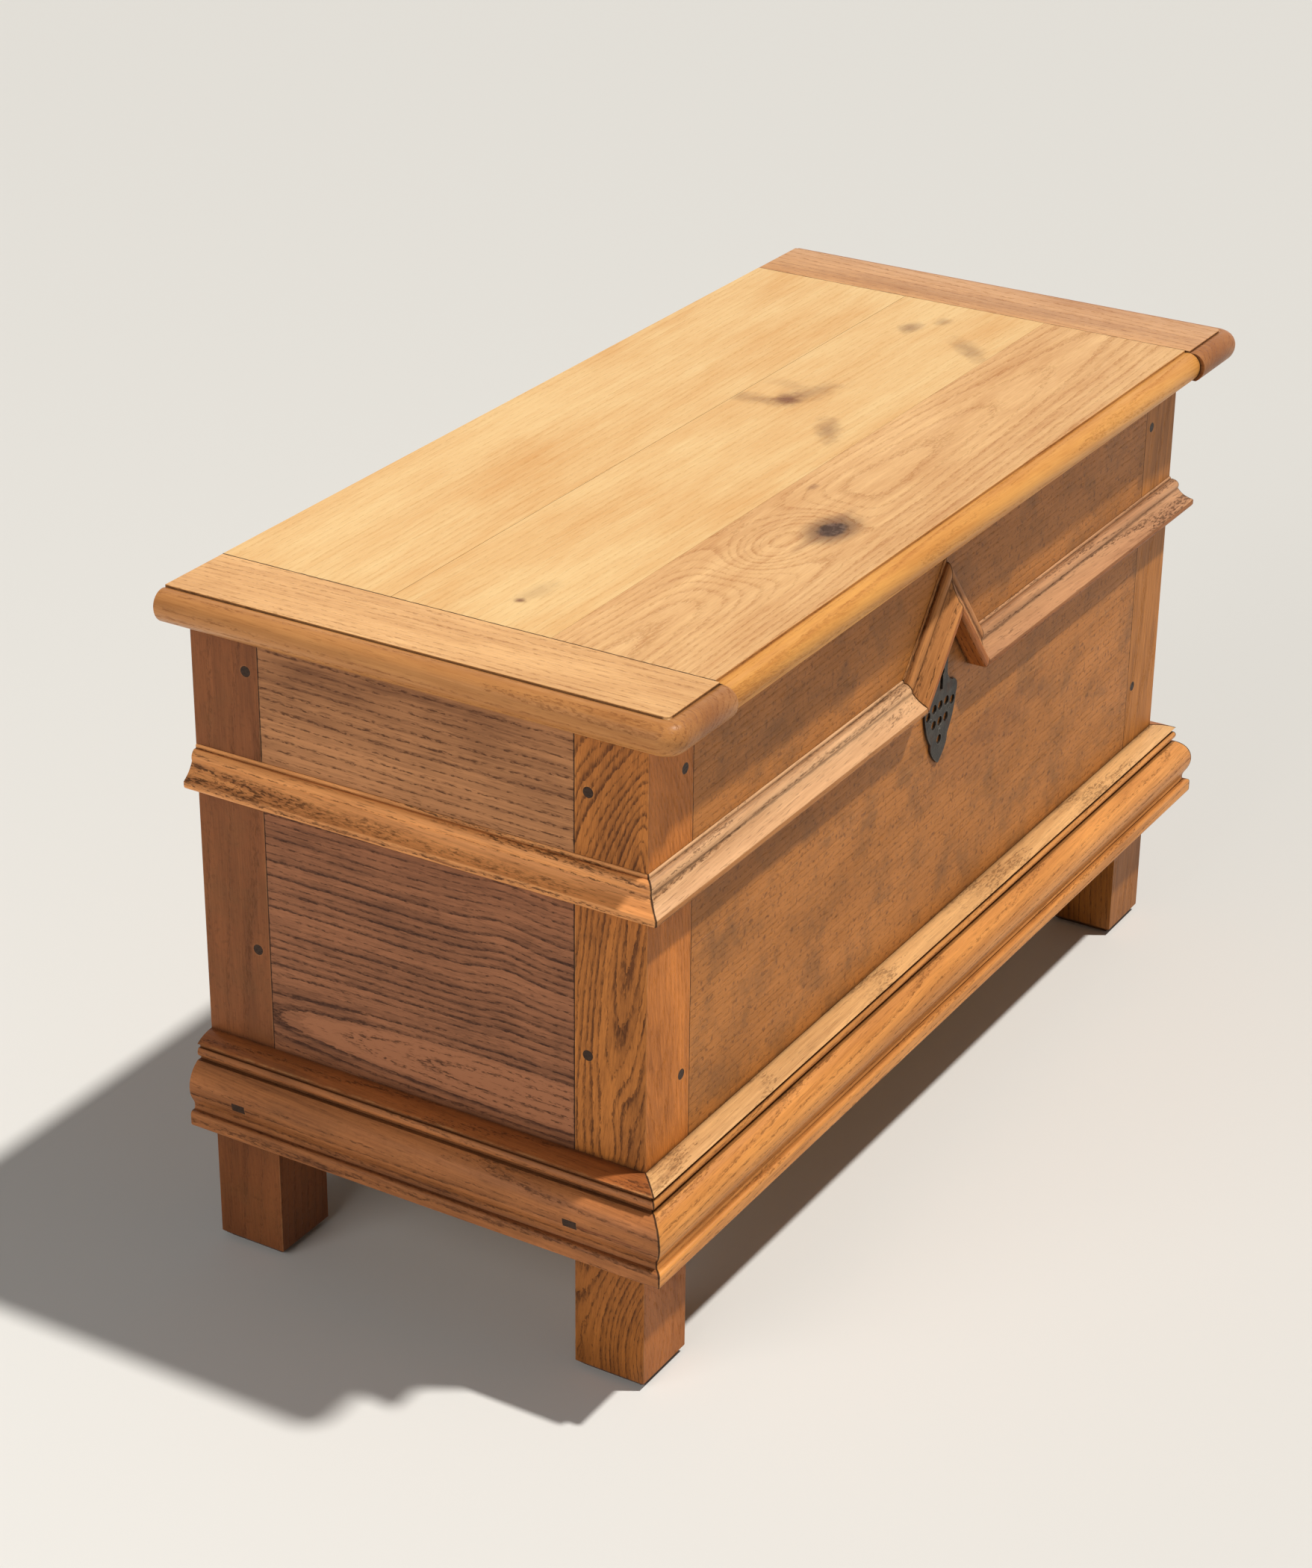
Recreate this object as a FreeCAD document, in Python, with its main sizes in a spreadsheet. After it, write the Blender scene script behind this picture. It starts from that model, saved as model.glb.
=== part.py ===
"""Oak blanket chest: a joined case on four posts, a clamped lid on butt hinges and a box lock.

Millimetres. +X runs along the front from left to right, the front faces -Y and +Z is up.
The origin lies on the floor under the middle of the whole outline, lid and hinges included.
"""
import FreeCAD, Part
import math
import os

import Sketcher

SIZES = {
    # Case and its joints
    "case_length": 890.0,
    "case_depth": 392.0,
    "case_height": 545.0,
    "post_width": 60.0,
    "foot_chamfer": 6.0,
    "board_thickness": 24.0,
    "skirt_height": 124.0,
    "front_upper_board_height": 196.0,
    "end_upper_board_height": 125.0,
    "tongue_thickness": 10.0,
    "tongue_setback": 7.0,
    "tongue_length": 25.0,
    "groove_relief": 1.0,
    # Oak pegs through the tongues, from the top and from the foot of the boards
    "peg_diameter": 8.5,
    "peg_length": 40.0,
    "peg_inset": 11.0,
    "peg_clearance": 0.05,
    "front_upper_peg_drop": 48.0,
    "front_lower_peg_rise": 126.0,
    "end_front_peg_drop": 59.0,
    "end_rear_peg_drop": 39.0,
    "end_lower_peg_rise": 151.0,
    # Floor
    "bearer_width": 24.0,
    "bearer_height": 24.0,
    "floor_thickness": 16.0,
    "floor_edge_gap": 0.5,
    "floor_outer_board_width": 120.0,
    "nail_diameter": 3.0,
    "nail_length": 34.0,
    "nail_head_diameter": 7.0,
    "nail_head_height": 1.4,
    "nail_pitch": 140.0,
    "nail_clearance": 0.05,
    # Base moulding, which laps below the boards; projections are from the case
    "base_lap": 5.0,
    "base_fillet_height": 13.5,
    "base_fillet_projection": 31.0,
    "base_fillet_round": 3.0,
    "base_cove_height": 9.0,
    "base_cove_projection": 26.0,
    "base_cove_radius": 9.0,
    "base_torus_height": 31.0,
    "base_torus_lower_projection": 27.5,
    "base_torus_upper_projection": 19.0,
    "base_torus_radius": 22.0,
    "base_groove_height": 3.0,
    "base_groove_projection": 15.0,
    "base_bead_height": 7.0,
    "base_bead_projection": 17.0,
    "base_bead_radius": 4.5,
    "base_quirk_height": 4.0,
    "base_top_height": 5.5,
    "base_top_projection": 18.5,
    "base_top_radius": 36.0,
    # Middle moulding and its chevron; the drop is from the top of the case
    "mid_underside_drop": 140.0,
    "mid_height": 31.0,
    "mid_projection": 17.5,
    "mid_nose_round": 3.0,
    "mid_nose_height": 6.5,
    "mid_cove_height": 12.5,
    "mid_cove_radius": 26.0,
    "mid_step_projection": 6.5,
    "mid_ovolo_radius": 7.0,
    "mid_groove_drop": 3.5,
    "mid_groove_projection": 3.2,
    "mid_groove_width": 2.0,
    "chevron_half_width": 66.0,
    "chevron_angle": 51.0,
    # Square plugs in the base moulding, flush with it
    "plug_width": 12.0,
    "plug_height": 7.0,
    "plug_depth": 14.0,
    "plug_end_inset": 46.0,
    "plug_above_underside": 30.0,
    # Lid
    "lid_thickness": 26.0,
    "lid_end_overhang": 37.0,
    "lid_front_overhang": 39.0,
    "lid_rear_overhang": 3.0,
    "clamp_width": 83.0,
    "clamp_step": 4.0,
    "clamp_corner_radius": 20.0,
    "lid_rear_board_width": 150.0,
    "lid_front_board_width": 147.5,
    "lid_tongue_thickness": 9.0,
    "lid_tongue_length": 18.0,
    "lid_tongue_front_stop": 32.0,
    "lid_quirk_inset": 15.0,
    "lid_quirk_depth": 2.0,
    "lid_nose_height": 13.0,
    "lid_upper_radius": 11.5,
    "lid_lower_inset": 7.5,
    "lid_lower_radius": 15.0,
    # Butt hinges
    "hinge_end_inset": 155.0,
    "hinge_length": 65.0,
    "hinge_leaf_width": 28.0,
    "hinge_leaf_thickness": 2.0,
    "hinge_barrel_diameter": 7.5,
    "hinge_barrel_gap": 0.6,
    "hinge_pin_diameter": 4.0,
    "hinge_pin_overrun": 1.5,
    "hinge_pin_clearance": 0.05,
    "hinge_knuckle_gap": 0.4,
    "hinge_screw_pitch": 22.0,
    "hinge_screw_setback": 18.0,
    # Wood screws
    "screw_diameter": 4.0,
    "screw_head_diameter": 7.0,
    "screw_head_height": 1.8,
    "screw_length": 18.0,
    "screw_clearance": 0.05,
    # Box lock behind the front
    "lock_plate_width": 124.0,
    "lock_plate_height": 150.0,
    "lock_plate_thickness": 2.5,
    "lock_top_gap": 4.0,
    "lock_screw_inset": 7.0,
    "lock_case_width": 96.0,
    "lock_case_depth": 18.0,
    "lock_case_height": 144.0,
    "lock_wall": 2.0,
    "bolt_setback": 9.5,
    "bolt_thickness": 4.0,
    "bolt_height": 12.0,
    "bolt_length": 38.0,
    "bolt_throw": 12.0,
    "bolt_top_gap": 0.5,
    "bolt_to_staple": 2.0,
    "bolt_toe_margin": 6.0,
    "bolt_foot_height": 18.0,
    "bolt_foot_above_key": 12.0,
    "stud_diameter": 4.0,
    "stud_shoulder_diameter": 8.0,
    "stud_clearance": 0.3,
    "stud_overrun": 1.5,
    "stud_inset": 6.5,
    "stud_margin": 14.0,
    "key_talon_width": 8.0,
    "key_talon_height": 6.0,
    "keyhole_drop": 127.0,
    "keyhole_diameter": 9.0,
    "keyhole_slot_width": 5.0,
    "keyhole_slot_length": 16.0,
    # Staple under the lid
    "staple_plate_width": 56.0,
    "staple_plate_depth": 19.0,
    "staple_plate_thickness": 2.0,
    "staple_screw_spread": 40.0,
    "staple_width": 8.0,
    "staple_leg": 2.5,
    "staple_eye_width": 5.0,
    "staple_eye_height": 23.0,
    "staple_bar": 3.0,
    "staple_slot_gap": 2.0,
    # Pierced iron escutcheon: its foot is set from the top of the case, the rest from its foot
    "escutcheon_foot_drop": 207.0,
    "escutcheon_height": 108.0,
    "escutcheon_thickness": 2.0,
    "escutcheon_lobe_width": 28.0,
    "escutcheon_lobe_height": 15.0,
    "escutcheon_lobe_radius": 40.0,
    "escutcheon_waist_width": 29.0,
    "escutcheon_waist_height": 21.0,
    "escutcheon_flank_radius": 60.0,
    "escutcheon_width": 54.0,
    "escutcheon_shoulder_height": 52.0,
    "escutcheon_shoulder_radius": 9.0,
    "escutcheon_crown_width": 42.0,
    "escutcheon_crown_height": 66.0,
    "escutcheon_neck_width": 20.0,
    "escutcheon_neck_height": 76.0,
    "escutcheon_neck_radius": 14.0,
    "escutcheon_arch_height": 94.0,
    "escutcheon_arch_radius": 14.0,
    "piercing_diameter": 8.2,
    "piercing_foot": 21.0,
    "piercing_spread": 10.5,
    "piercing_lower_row": 37.0,
    "piercing_upper_row": 51.0,
    "piercing_outer_drop": 3.0,
    "escutcheon_pin_diameter": 1.6,
    "escutcheon_pin_head_diameter": 4.0,
    "escutcheon_pin_head_height": 1.0,
    "escutcheon_pin_length": 12.0,
    "escutcheon_pin_clearance": 0.05,
    "escutcheon_pin_low": 29.0,
    "escutcheon_pin_high": 101.0,
    "escutcheon_pin_spread": 16.5,
    "escutcheon_pin_side": 43.0,
}

CUT_MARGIN = 5.0

doc = FreeCAD.newDocument("BlanketChest")
sheet = doc.addObject("Spreadsheet::Sheet", "Sizes")
for row, (alias, number) in enumerate(SIZES.items(), start=1):
    sheet.set(f"A{row}", alias)
    sheet.set(f"B{row}", str(number))
    sheet.setAlias(f"B{row}", alias)
doc.recompute()


class Length:
    """A number together with the sheet formula that drives it."""

    def __init__(self, formula, number):
        self.formula = formula
        self.number = number

    def __add__(self, other):
        other = length(other)
        return Length(f"({self.formula} + {other.formula})", self.number + other.number)

    def __sub__(self, other):
        other = length(other)
        return Length(f"({self.formula} - {other.formula})", self.number - other.number)

    def __mul__(self, other):
        other = length(other)
        return Length(f"({self.formula} * {other.formula})", self.number * other.number)

    def __truediv__(self, other):
        other = length(other)
        return Length(f"({self.formula} / {other.formula})", self.number / other.number)

    def __radd__(self, other):
        return length(other) + self

    def __rsub__(self, other):
        return length(other) - self

    def __rmul__(self, other):
        return length(other) * self

    def __neg__(self):
        return Length(f"(-1 * {self.formula})", -self.number)


def length(value):
    """The value as a Length; a plain number becomes its own formula."""
    if isinstance(value, Length):
        return value
    return Length(f"({value})", float(value))


def size(alias):
    """A driving size, read from the sheet."""
    return Length(f"Sizes.{alias}", float(sheet.get(alias)))


def sine(angle):
    return Length(f"sin({angle.formula} * 1deg)", math.sin(math.radians(angle.number)))


def cosine(angle):
    return Length(f"cos({angle.formula} * 1deg)", math.cos(math.radians(angle.number)))


def tangent(angle):
    return Length(f"tan({angle.formula} * 1deg)", math.tan(math.radians(angle.number)))


nodes = []


def node(obj):
    """Mark an object as a finished sub-part, written under its label."""
    nodes.append(obj)
    return obj


def bind(obj, prop, value):
    obj.setExpression(prop, length(value).formula)


def put(obj, x=0, y=0, z=0):
    """Bind an object's place to the sheet."""
    bind(obj, ".Placement.Base.x", x)
    bind(obj, ".Placement.Base.y", y)
    bind(obj, ".Placement.Base.z", z)
    return obj


def block(name, x, y, z):
    """A box between two limits along each axis."""
    box = doc.addObject("Part::Box", name)
    for prop, (low, high) in (("Length", x), ("Width", y), ("Height", z)):
        bind(box, prop, length(high) - low)
    return put(box, x[0], y[0], z[0])


TURN_TO_AXIS = {
    "+z": FreeCAD.Rotation(),
    "-z": FreeCAD.Rotation(FreeCAD.Vector(1, 0, 0), 180),
    "+x": FreeCAD.Rotation(FreeCAD.Vector(0, 1, 0), 90),
    "+y": FreeCAD.Rotation(FreeCAD.Vector(1, 0, 0), -90),
    "-y": FreeCAD.Rotation(FreeCAD.Vector(1, 0, 0), 90),
}


def rod(name, axis, start, diameter, reach):
    """A cylinder from its start point along a signed axis."""
    cylinder = doc.addObject("Part::Cylinder", name)
    bind(cylinder, "Radius", length(diameter) / 2)
    bind(cylinder, "Height", reach)
    cylinder.Placement = FreeCAD.Placement(FreeCAD.Vector(), TURN_TO_AXIS[axis])
    return put(cylinder, *start)


def cone(name, axis, start, first_diameter, last_diameter, reach):
    """A cone from its start point along a signed axis."""
    frustum = doc.addObject("Part::Cone", name)
    bind(frustum, "Radius1", length(first_diameter) / 2)
    bind(frustum, "Radius2", length(last_diameter) / 2)
    bind(frustum, "Height", reach)
    frustum.Placement = FreeCAD.Placement(FreeCAD.Vector(), TURN_TO_AXIS[axis])
    return put(frustum, *start)


def fused(name, pieces):
    fuse = doc.addObject("Part::MultiFuse", name)
    fuse.Shapes = pieces
    fuse.Refine = True
    return fuse


def cut(name, stock, tools):
    """The stock with every tool taken out of it."""
    result = doc.addObject("Part::Cut", name)
    result.Base = stock
    result.Tool = tools[0] if len(tools) == 1 else fused(f"{name}_tools", tools)
    result.Refine = True
    return result


def shared(name, first, second):
    """What two solids have in common."""
    result = doc.addObject("Part::Common", name)
    result.Base = first
    result.Tool = second
    return result


def group(name, solids):
    """Separate solids that share one node."""
    compound = doc.addObject("Part::Compound", name)
    compound.Links = solids
    return compound


ACROSS = FreeCAD.Vector(1, 0, 0)
BACKWARD = FreeCAD.Vector(0, 1, 0)

# Faces and levels that several pieces share
front_reach = size("lid_front_overhang") + size("clamp_step")
rear_reach = size("lid_rear_overhang") + size("hinge_barrel_gap") + size("hinge_barrel_diameter")
case_middle = (front_reach - rear_reach) / 2
half_length = size("case_length") / 2
front_face = case_middle - size("case_depth") / 2
left_face = -half_length
case_top = size("case_height")
inside_front = front_face + size("board_thickness")
inside_left = left_face + size("board_thickness")
post_inner_x = left_face + size("post_width")
post_inner_y = front_face + size("post_width")
tongue = size("tongue_length")
tongue_low = size("tongue_setback")
tongue_high = tongue_low + size("tongue_thickness")


def behind(y):
    """The place as far behind the middle of the case as y is in front of it."""
    return 2 * case_middle - y


def mirrored(name, source, normal):
    """The mirror image of a piece across the middle of the case."""
    image = doc.addObject("Part::Mirroring", name)
    image.Source = source
    image.Normal = normal
    bind(image, ".Base.y", case_middle)
    return image


def pair(name, solids, normal):
    """Solids and their mirror images under one node."""
    first = group(f"{name}_first", solids)
    return group(name, [first, mirrored(f"{name}_image", first, normal)])


def plane(body, role):
    return next(feature for feature in body.Origin.OriginFeatures if feature.Role == role)


def arc_middle(start, end, radius, side):
    """Middle of the short arc between two points, bulging to the left (1) or right (-1)."""
    across = end - start
    half = across.Length / 2
    rise = radius - math.sqrt(radius**2 - half**2)
    normal = FreeCAD.Vector(-across.y, across.x, 0).normalize()
    return (start + end) / 2 + normal * rise * side


def place_of(drawing, stretch, spot):
    """Which end of a stretch lies at a spot: 1 is its start and 2 its end."""
    return 1 if drawing.getPoint(stretch, 1).distanceToPoint(spot) < 1e-6 else 2


def hold(drawing, kind, stretch, end, value):
    """Fix one coordinate of a stretch's end to a value of the sheet."""
    number = drawing.addConstraint(Sketcher.Constraint(kind, -1, 1, stretch, end, value.number))
    bind(drawing, f"Constraints[{number}]", value)


def sketch(body, name, role, points, arcs=None, closed=True, offset=0):
    """A sketch on an origin plane through points whose coordinates follow the sheet.

    arcs maps the number of a stretch to (radius, side); every other stretch is straight.
    """
    arcs = arcs or {}
    drawing = body.newObject("Sketcher::SketchObject", name)
    drawing.AttachmentSupport = [(plane(body, role), "")]
    drawing.MapMode = "FlatFace"
    bind(drawing, ".AttachmentOffset.Base.z", offset)
    points = [(length(u), length(v)) for u, v in points]
    spots = [FreeCAD.Vector(u.number, v.number, 0) for u, v in points]
    stretches = len(points) if closed else len(points) - 1
    for index in range(stretches):
        start = spots[index]
        end = spots[(index + 1) % len(spots)]
        if index in arcs:
            radius, side = arcs[index]
            middle = arc_middle(start, end, length(radius).number, side)
            drawing.addGeometry(Part.Arc(start, middle, end))
        else:
            drawing.addGeometry(Part.LineSegment(start, end))
    for index in range(stretches if closed else stretches - 1):
        after = (index + 1) % stretches
        spot = spots[after]
        ends = (index, place_of(drawing, index, spot), after, place_of(drawing, after, spot))
        drawing.addConstraint(Sketcher.Constraint("Coincident", *ends))
    for index, (u, v) in enumerate(points):
        stretch = min(index, stretches - 1)
        end = place_of(drawing, stretch, spots[index])
        hold(drawing, "DistanceX", stretch, end, u)
        hold(drawing, "DistanceY", stretch, end, v)
    for index, (radius, _) in arcs.items():
        radius = length(radius)
        number = drawing.addConstraint(Sketcher.Constraint("Radius", index, radius.number))
        bind(drawing, f"Constraints[{number}]", radius)
    return drawing


def pad(body, drawing, reach, symmetric=False):
    feature = body.newObject("PartDesign::Pad", f"{drawing.Name}_pad")
    feature.Profile = drawing
    bind(feature, "Length", reach)
    if symmetric:
        feature.SideType = "Symmetric"
    return feature


def pocket_through(body, drawing):
    """Take the drawn area out of the whole body, both ways from the sketch."""
    feature = body.newObject("PartDesign::Pocket", f"{drawing.Name}_pocket")
    feature.Profile = drawing
    feature.SideType = "Symmetric"
    feature.Type = "ThroughAll"
    return feature


def new_body(name):
    return doc.addObject("PartDesign::Body", name)


# Pegs of the left front and left end joints, and the holes bored for them
peg_hole = size("peg_diameter") + 2 * size("peg_clearance")
front_peg_heights = (
    case_top - size("front_upper_peg_drop"),
    size("skirt_height") + size("front_lower_peg_rise"),
)
end_peg_y = post_inner_y - size("peg_inset")
end_peg_low = size("skirt_height") + size("end_lower_peg_rise")
end_peg_spots = [
    (end_peg_y, case_top - size("end_front_peg_drop")),
    (end_peg_y, end_peg_low),
    (behind(end_peg_y), case_top - size("end_rear_peg_drop")),
    (behind(end_peg_y), end_peg_low),
]


def front_pegs(name, diameter):
    x = post_inner_x - size("peg_inset")
    return [
        rod(f"{name}_{number}", "+y", (x, front_face, height), diameter, size("peg_length"))
        for number, height in enumerate(front_peg_heights)
    ]


def end_pegs(name, diameter):
    """Two pegs in the front post, then two in the rear post."""
    return [
        rod(f"{name}_{number}", "+x", (left_face, y, height), diameter, size("peg_length"))
        for number, (y, height) in enumerate(end_peg_spots)
    ]


front_peg_holes = front_pegs("front_peg_hole", peg_hole)
end_peg_holes = end_pegs("end_peg_hole", peg_hole)
pegs_front = node(pair("pegs_front", front_pegs("front_peg", size("peg_diameter")), ACROSS))
node(mirrored("pegs_back", pegs_front, BACKWARD))
pegs_left = node(group("pegs_left", end_pegs("end_peg", size("peg_diameter"))))
node(mirrored("pegs_right", pegs_left, ACROSS))


# Corner posts: square, chamfered at the foot, grooved for the front and end boards
def post_stock():
    body = new_body("post_stock")
    outline = [
        (left_face, front_face),
        (post_inner_x, front_face),
        (post_inner_x, post_inner_y),
        (left_face, post_inner_y),
    ]
    shaft = pad(body, sketch(body, "post_outline", "XY_Plane", outline), case_top)
    doc.recompute()
    foot_edges = [
        f"Edge{number}"
        for number, edge in enumerate(shaft.Shape.Edges, start=1)
        if edge.BoundBox.ZMax < 1e-6
    ]
    chamfer = body.newObject("PartDesign::Chamfer", "post_foot_chamfer")
    chamfer.Base = (shaft, foot_edges)
    bind(chamfer, "Size", size("foot_chamfer"))
    return body


groove = tongue + size("groove_relief")
board_level = (size("skirt_height"), case_top)
post_grooves = [
    block(
        "post_front_groove",
        (post_inner_x - groove, post_inner_x),
        (front_face + tongue_low, front_face + tongue_high),
        board_level,
    ),
    block(
        "post_end_groove",
        (left_face + tongue_low, left_face + tongue_high),
        (post_inner_y - groove, post_inner_y),
        board_level,
    ),
]
front_post_blank = cut("front_post_blank", post_stock(), post_grooves + front_peg_holes)
rear_post_blank = mirrored("rear_post_blank", front_post_blank, BACKWARD)
post_front_left = node(cut("post_front_left", front_post_blank, end_peg_holes[:2]))
post_rear_left = node(cut("post_rear_left", rear_post_blank, end_peg_holes[2:]))
node(mirrored("post_front_right", post_front_left, ACROSS))
node(mirrored("post_rear_right", post_rear_left, ACROSS))


# Boards between the posts, flush outside, with a tongue at each end
def front_board(name, level):
    main = block(f"{name}_main", (post_inner_x, -post_inner_x), (front_face, inside_front), level)
    tongues = block(
        f"{name}_tongue",
        (post_inner_x - tongue, -post_inner_x + tongue),
        (front_face + tongue_low, front_face + tongue_high),
        level,
    )
    holes = pair(f"{name}_peg_holes", front_peg_holes, ACROSS)
    return cut(name, fused(f"{name}_blank", [main, tongues]), [holes])


def end_board(name, level):
    main = block(f"{name}_main", (left_face, inside_left), (post_inner_y, behind(post_inner_y)), level)
    tongues = block(
        f"{name}_tongue",
        (left_face + tongue_low, left_face + tongue_high),
        (post_inner_y - tongue, behind(post_inner_y - tongue)),
        level,
    )
    return cut(name, fused(f"{name}_blank", [main, tongues]), end_peg_holes)


front_joint = case_top - size("front_upper_board_height")
end_joint = case_top - size("end_upper_board_height")
front_lower_board = node(front_board("front_lower_board", (size("skirt_height"), front_joint)))
node(mirrored("back_lower_board", front_lower_board, BACKWARD))
upper_blank = front_board("front_upper_blank", (front_joint, case_top))
back_upper_blank = mirrored("back_upper_blank", upper_blank, BACKWARD)
left_lower_board = node(end_board("left_lower_board", (size("skirt_height"), end_joint)))
left_upper_board = node(end_board("left_upper_board", (end_joint, case_top)))
node(mirrored("right_lower_board", left_lower_board, ACROSS))
node(mirrored("right_upper_board", left_upper_board, ACROSS))


# Floor: four bearers, three boards notched round the posts, and two rows of nails
bearer_top = size("skirt_height") + size("bearer_height")
floor_top = bearer_top + size("floor_thickness")
bearer_level = (size("skirt_height"), bearer_top)
floor_level = (bearer_top, floor_top)
floor_gap = size("floor_edge_gap")
floor_left = inside_left + floor_gap
floor_front = inside_front + floor_gap
floor_joint = floor_front + size("floor_outer_board_width")
nail_spots = [
    (size("nail_pitch") * column, inside_front + size("bearer_width") / 2, floor_top)
    for column in (-2, -1, 0, 1, 2)
]


def nail(name, spot):
    shank = rod(f"{name}_shank", "-z", spot, size("nail_diameter"), size("nail_length"))
    head = cone(
        f"{name}_head",
        "+z",
        spot,
        size("nail_head_diameter"),
        size("nail_diameter"),
        size("nail_head_height"),
    )
    return fused(name, [shank, head])


nail_bore = size("nail_diameter") + 2 * size("nail_clearance")
nail_holes = [
    rod(f"floor_nail_hole_{number}", "-z", spot, nail_bore, size("nail_length"))
    for number, spot in enumerate(nail_spots)
]
front_nails = [nail(f"floor_nail_{number}", spot) for number, spot in enumerate(nail_spots)]
node(pair("floor_nails", front_nails, BACKWARD))

bearer_blank = block(
    "bearer_front_blank",
    (post_inner_x, -post_inner_x),
    (inside_front, inside_front + size("bearer_width")),
    bearer_level,
)
bearer_front = node(cut("bearer_front", bearer_blank, nail_holes))
node(mirrored("bearer_rear", bearer_front, BACKWARD))
bearer_left = node(
    block(
        "bearer_left",
        (inside_left, inside_left + size("bearer_width")),
        (post_inner_y, behind(post_inner_y)),
        bearer_level,
    )
)
node(mirrored("bearer_right", bearer_left, ACROSS))

floor_blank = block(
    "floor_front_blank", (floor_left, -floor_left), (floor_front, floor_joint), floor_level
)
floor_notch = block(
    "floor_notch",
    (floor_left, post_inner_x + floor_gap),
    (floor_front, post_inner_y + floor_gap),
    floor_level,
)
floor_notches = pair("floor_notches", [floor_notch], ACROSS)
floor_board_front = node(cut("floor_board_front", floor_blank, [floor_notches] + nail_holes))
node(mirrored("floor_board_rear", floor_board_front, BACKWARD))
node(
    block(
        "floor_board_middle",
        (floor_left, -floor_left),
        (floor_joint, behind(floor_joint)),
        floor_level,
    )
)


# Mouldings: a profile run along local X, outward along local -Y, mitred at its ends
def base_profile():
    """Fillet, cove, torus, groove, bead, quirk and sloping top, from the underside up."""
    fillet = size("base_fillet_projection")
    round_off = size("base_fillet_round")
    deep = size("base_groove_projection")
    bead = size("base_bead_projection")
    fillet_top = size("base_fillet_height")
    cove_top = fillet_top + size("base_cove_height")
    torus_top = cove_top + size("base_torus_height")
    groove_top = torus_top + size("base_groove_height")
    bead_top = groove_top + size("base_bead_height")
    quirk_top = bead_top + size("base_quirk_height")
    outline = [
        (0, 0),
        (fillet - round_off, 0),
        (fillet, round_off),
        (fillet, fillet_top - round_off),
        (fillet - round_off, fillet_top),
        (size("base_cove_projection"), fillet_top),
        (size("base_torus_lower_projection"), cove_top),
        (size("base_torus_upper_projection"), torus_top),
        (deep, torus_top),
        (deep, groove_top),
        (bead, groove_top),
        (bead, bead_top),
        (deep, bead_top),
        (deep, quirk_top),
        (size("base_top_projection"), quirk_top),
        (0, quirk_top + size("base_top_height")),
    ]
    arcs = {
        1: (round_off, -1),
        3: (round_off, -1),
        5: (size("base_cove_radius"), 1),
        6: (size("base_torus_radius"), -1),
        10: (size("base_bead_radius"), -1),
        14: (size("base_top_radius"), -1),
    }
    return outline, arcs


def mid_profile():
    """Rounded nose, cove, ovolo, groove and a bevel, from the underside up."""
    nose = size("mid_projection")
    round_off = size("mid_nose_round")
    step = size("mid_step_projection")
    top = size("mid_height")
    cove_foot = size("mid_nose_height")
    step_foot = cove_foot + size("mid_cove_height")
    groove_mouth = size("mid_groove_projection")
    groove_level = top - size("mid_groove_drop")
    groove_back = groove_mouth - size("mid_groove_width")
    bevel_slope = size("mid_groove_drop") / groove_mouth
    outline = [
        (0, 0),
        (nose - round_off, 0),
        (nose, round_off),
        (nose, cove_foot),
        (step, step_foot),
        (groove_mouth, groove_level),
        (groove_back, groove_level),
        (groove_back, top - groove_back * bevel_slope),
        (0, top),
    ]
    arcs = {
        1: (round_off, -1),
        3: (size("mid_cove_radius"), 1),
        4: (size("mid_ovolo_radius"), -1),
    }
    return outline, arcs


def moulding(name, profile, start, end):
    """The profile run along local X from start to end."""
    body = new_body(name)
    outline, arcs = profile
    turned = [(-length(out), up) for out, up in outline]
    turned_arcs = {index: (radius, -side) for index, (radius, side) in arcs.items()}
    drawing = sketch(body, f"{name}_profile", "YZ_Plane", turned, turned_arcs, offset=start)
    pad(body, drawing, length(end) - start)
    return body


def corner_mitre(body, corner, outward, reach):
    """Cut a run's end at 45 degrees in plan; outward is -1 at its left end and 1 at its right."""
    far = reach + CUT_MARGIN
    waste = [
        (corner - outward * CUT_MARGIN, CUT_MARGIN),
        (corner + outward * far, CUT_MARGIN),
        (corner + outward * far, -far),
    ]
    pocket_through(body, sketch(body, f"{body.Name}_corner", "XY_Plane", waste))


def on_left_end(body, underside):
    """Turn a run onto the left end, from the rear corner forward."""
    quarter_turn = FreeCAD.Rotation(FreeCAD.Vector(0, 0, 1), -90)
    body.Placement = FreeCAD.Placement(FreeCAD.Vector(), quarter_turn)
    return put(body, left_face, behind(front_face), underside)


base_reach = size("base_fillet_projection")
base_underside = size("skirt_height") - size("base_lap")
base_front = moulding(
    "base_moulding_front", base_profile(), left_face - base_reach, half_length + base_reach
)
corner_mitre(base_front, left_face, -1, base_reach)
corner_mitre(base_front, half_length, 1, base_reach)
node(put(base_front, 0, front_face, base_underside))

base_end_run = moulding("base_end_run", base_profile(), 0, size("case_depth") + base_reach)
corner_mitre(base_end_run, size("case_depth"), 1, base_reach)
on_left_end(base_end_run, base_underside)


def plug_mortise(name, y):
    """The square hole for a plug, from outside into the base moulding of the left end."""
    face = left_face - base_reach
    level = base_underside + size("plug_above_underside")
    half_width = size("plug_width") / 2
    half_height = size("plug_height") / 2
    return block(
        name,
        (face, face + size("plug_depth")),
        (y - half_width, y + half_width),
        (level - half_height, level + half_height),
    )


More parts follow.
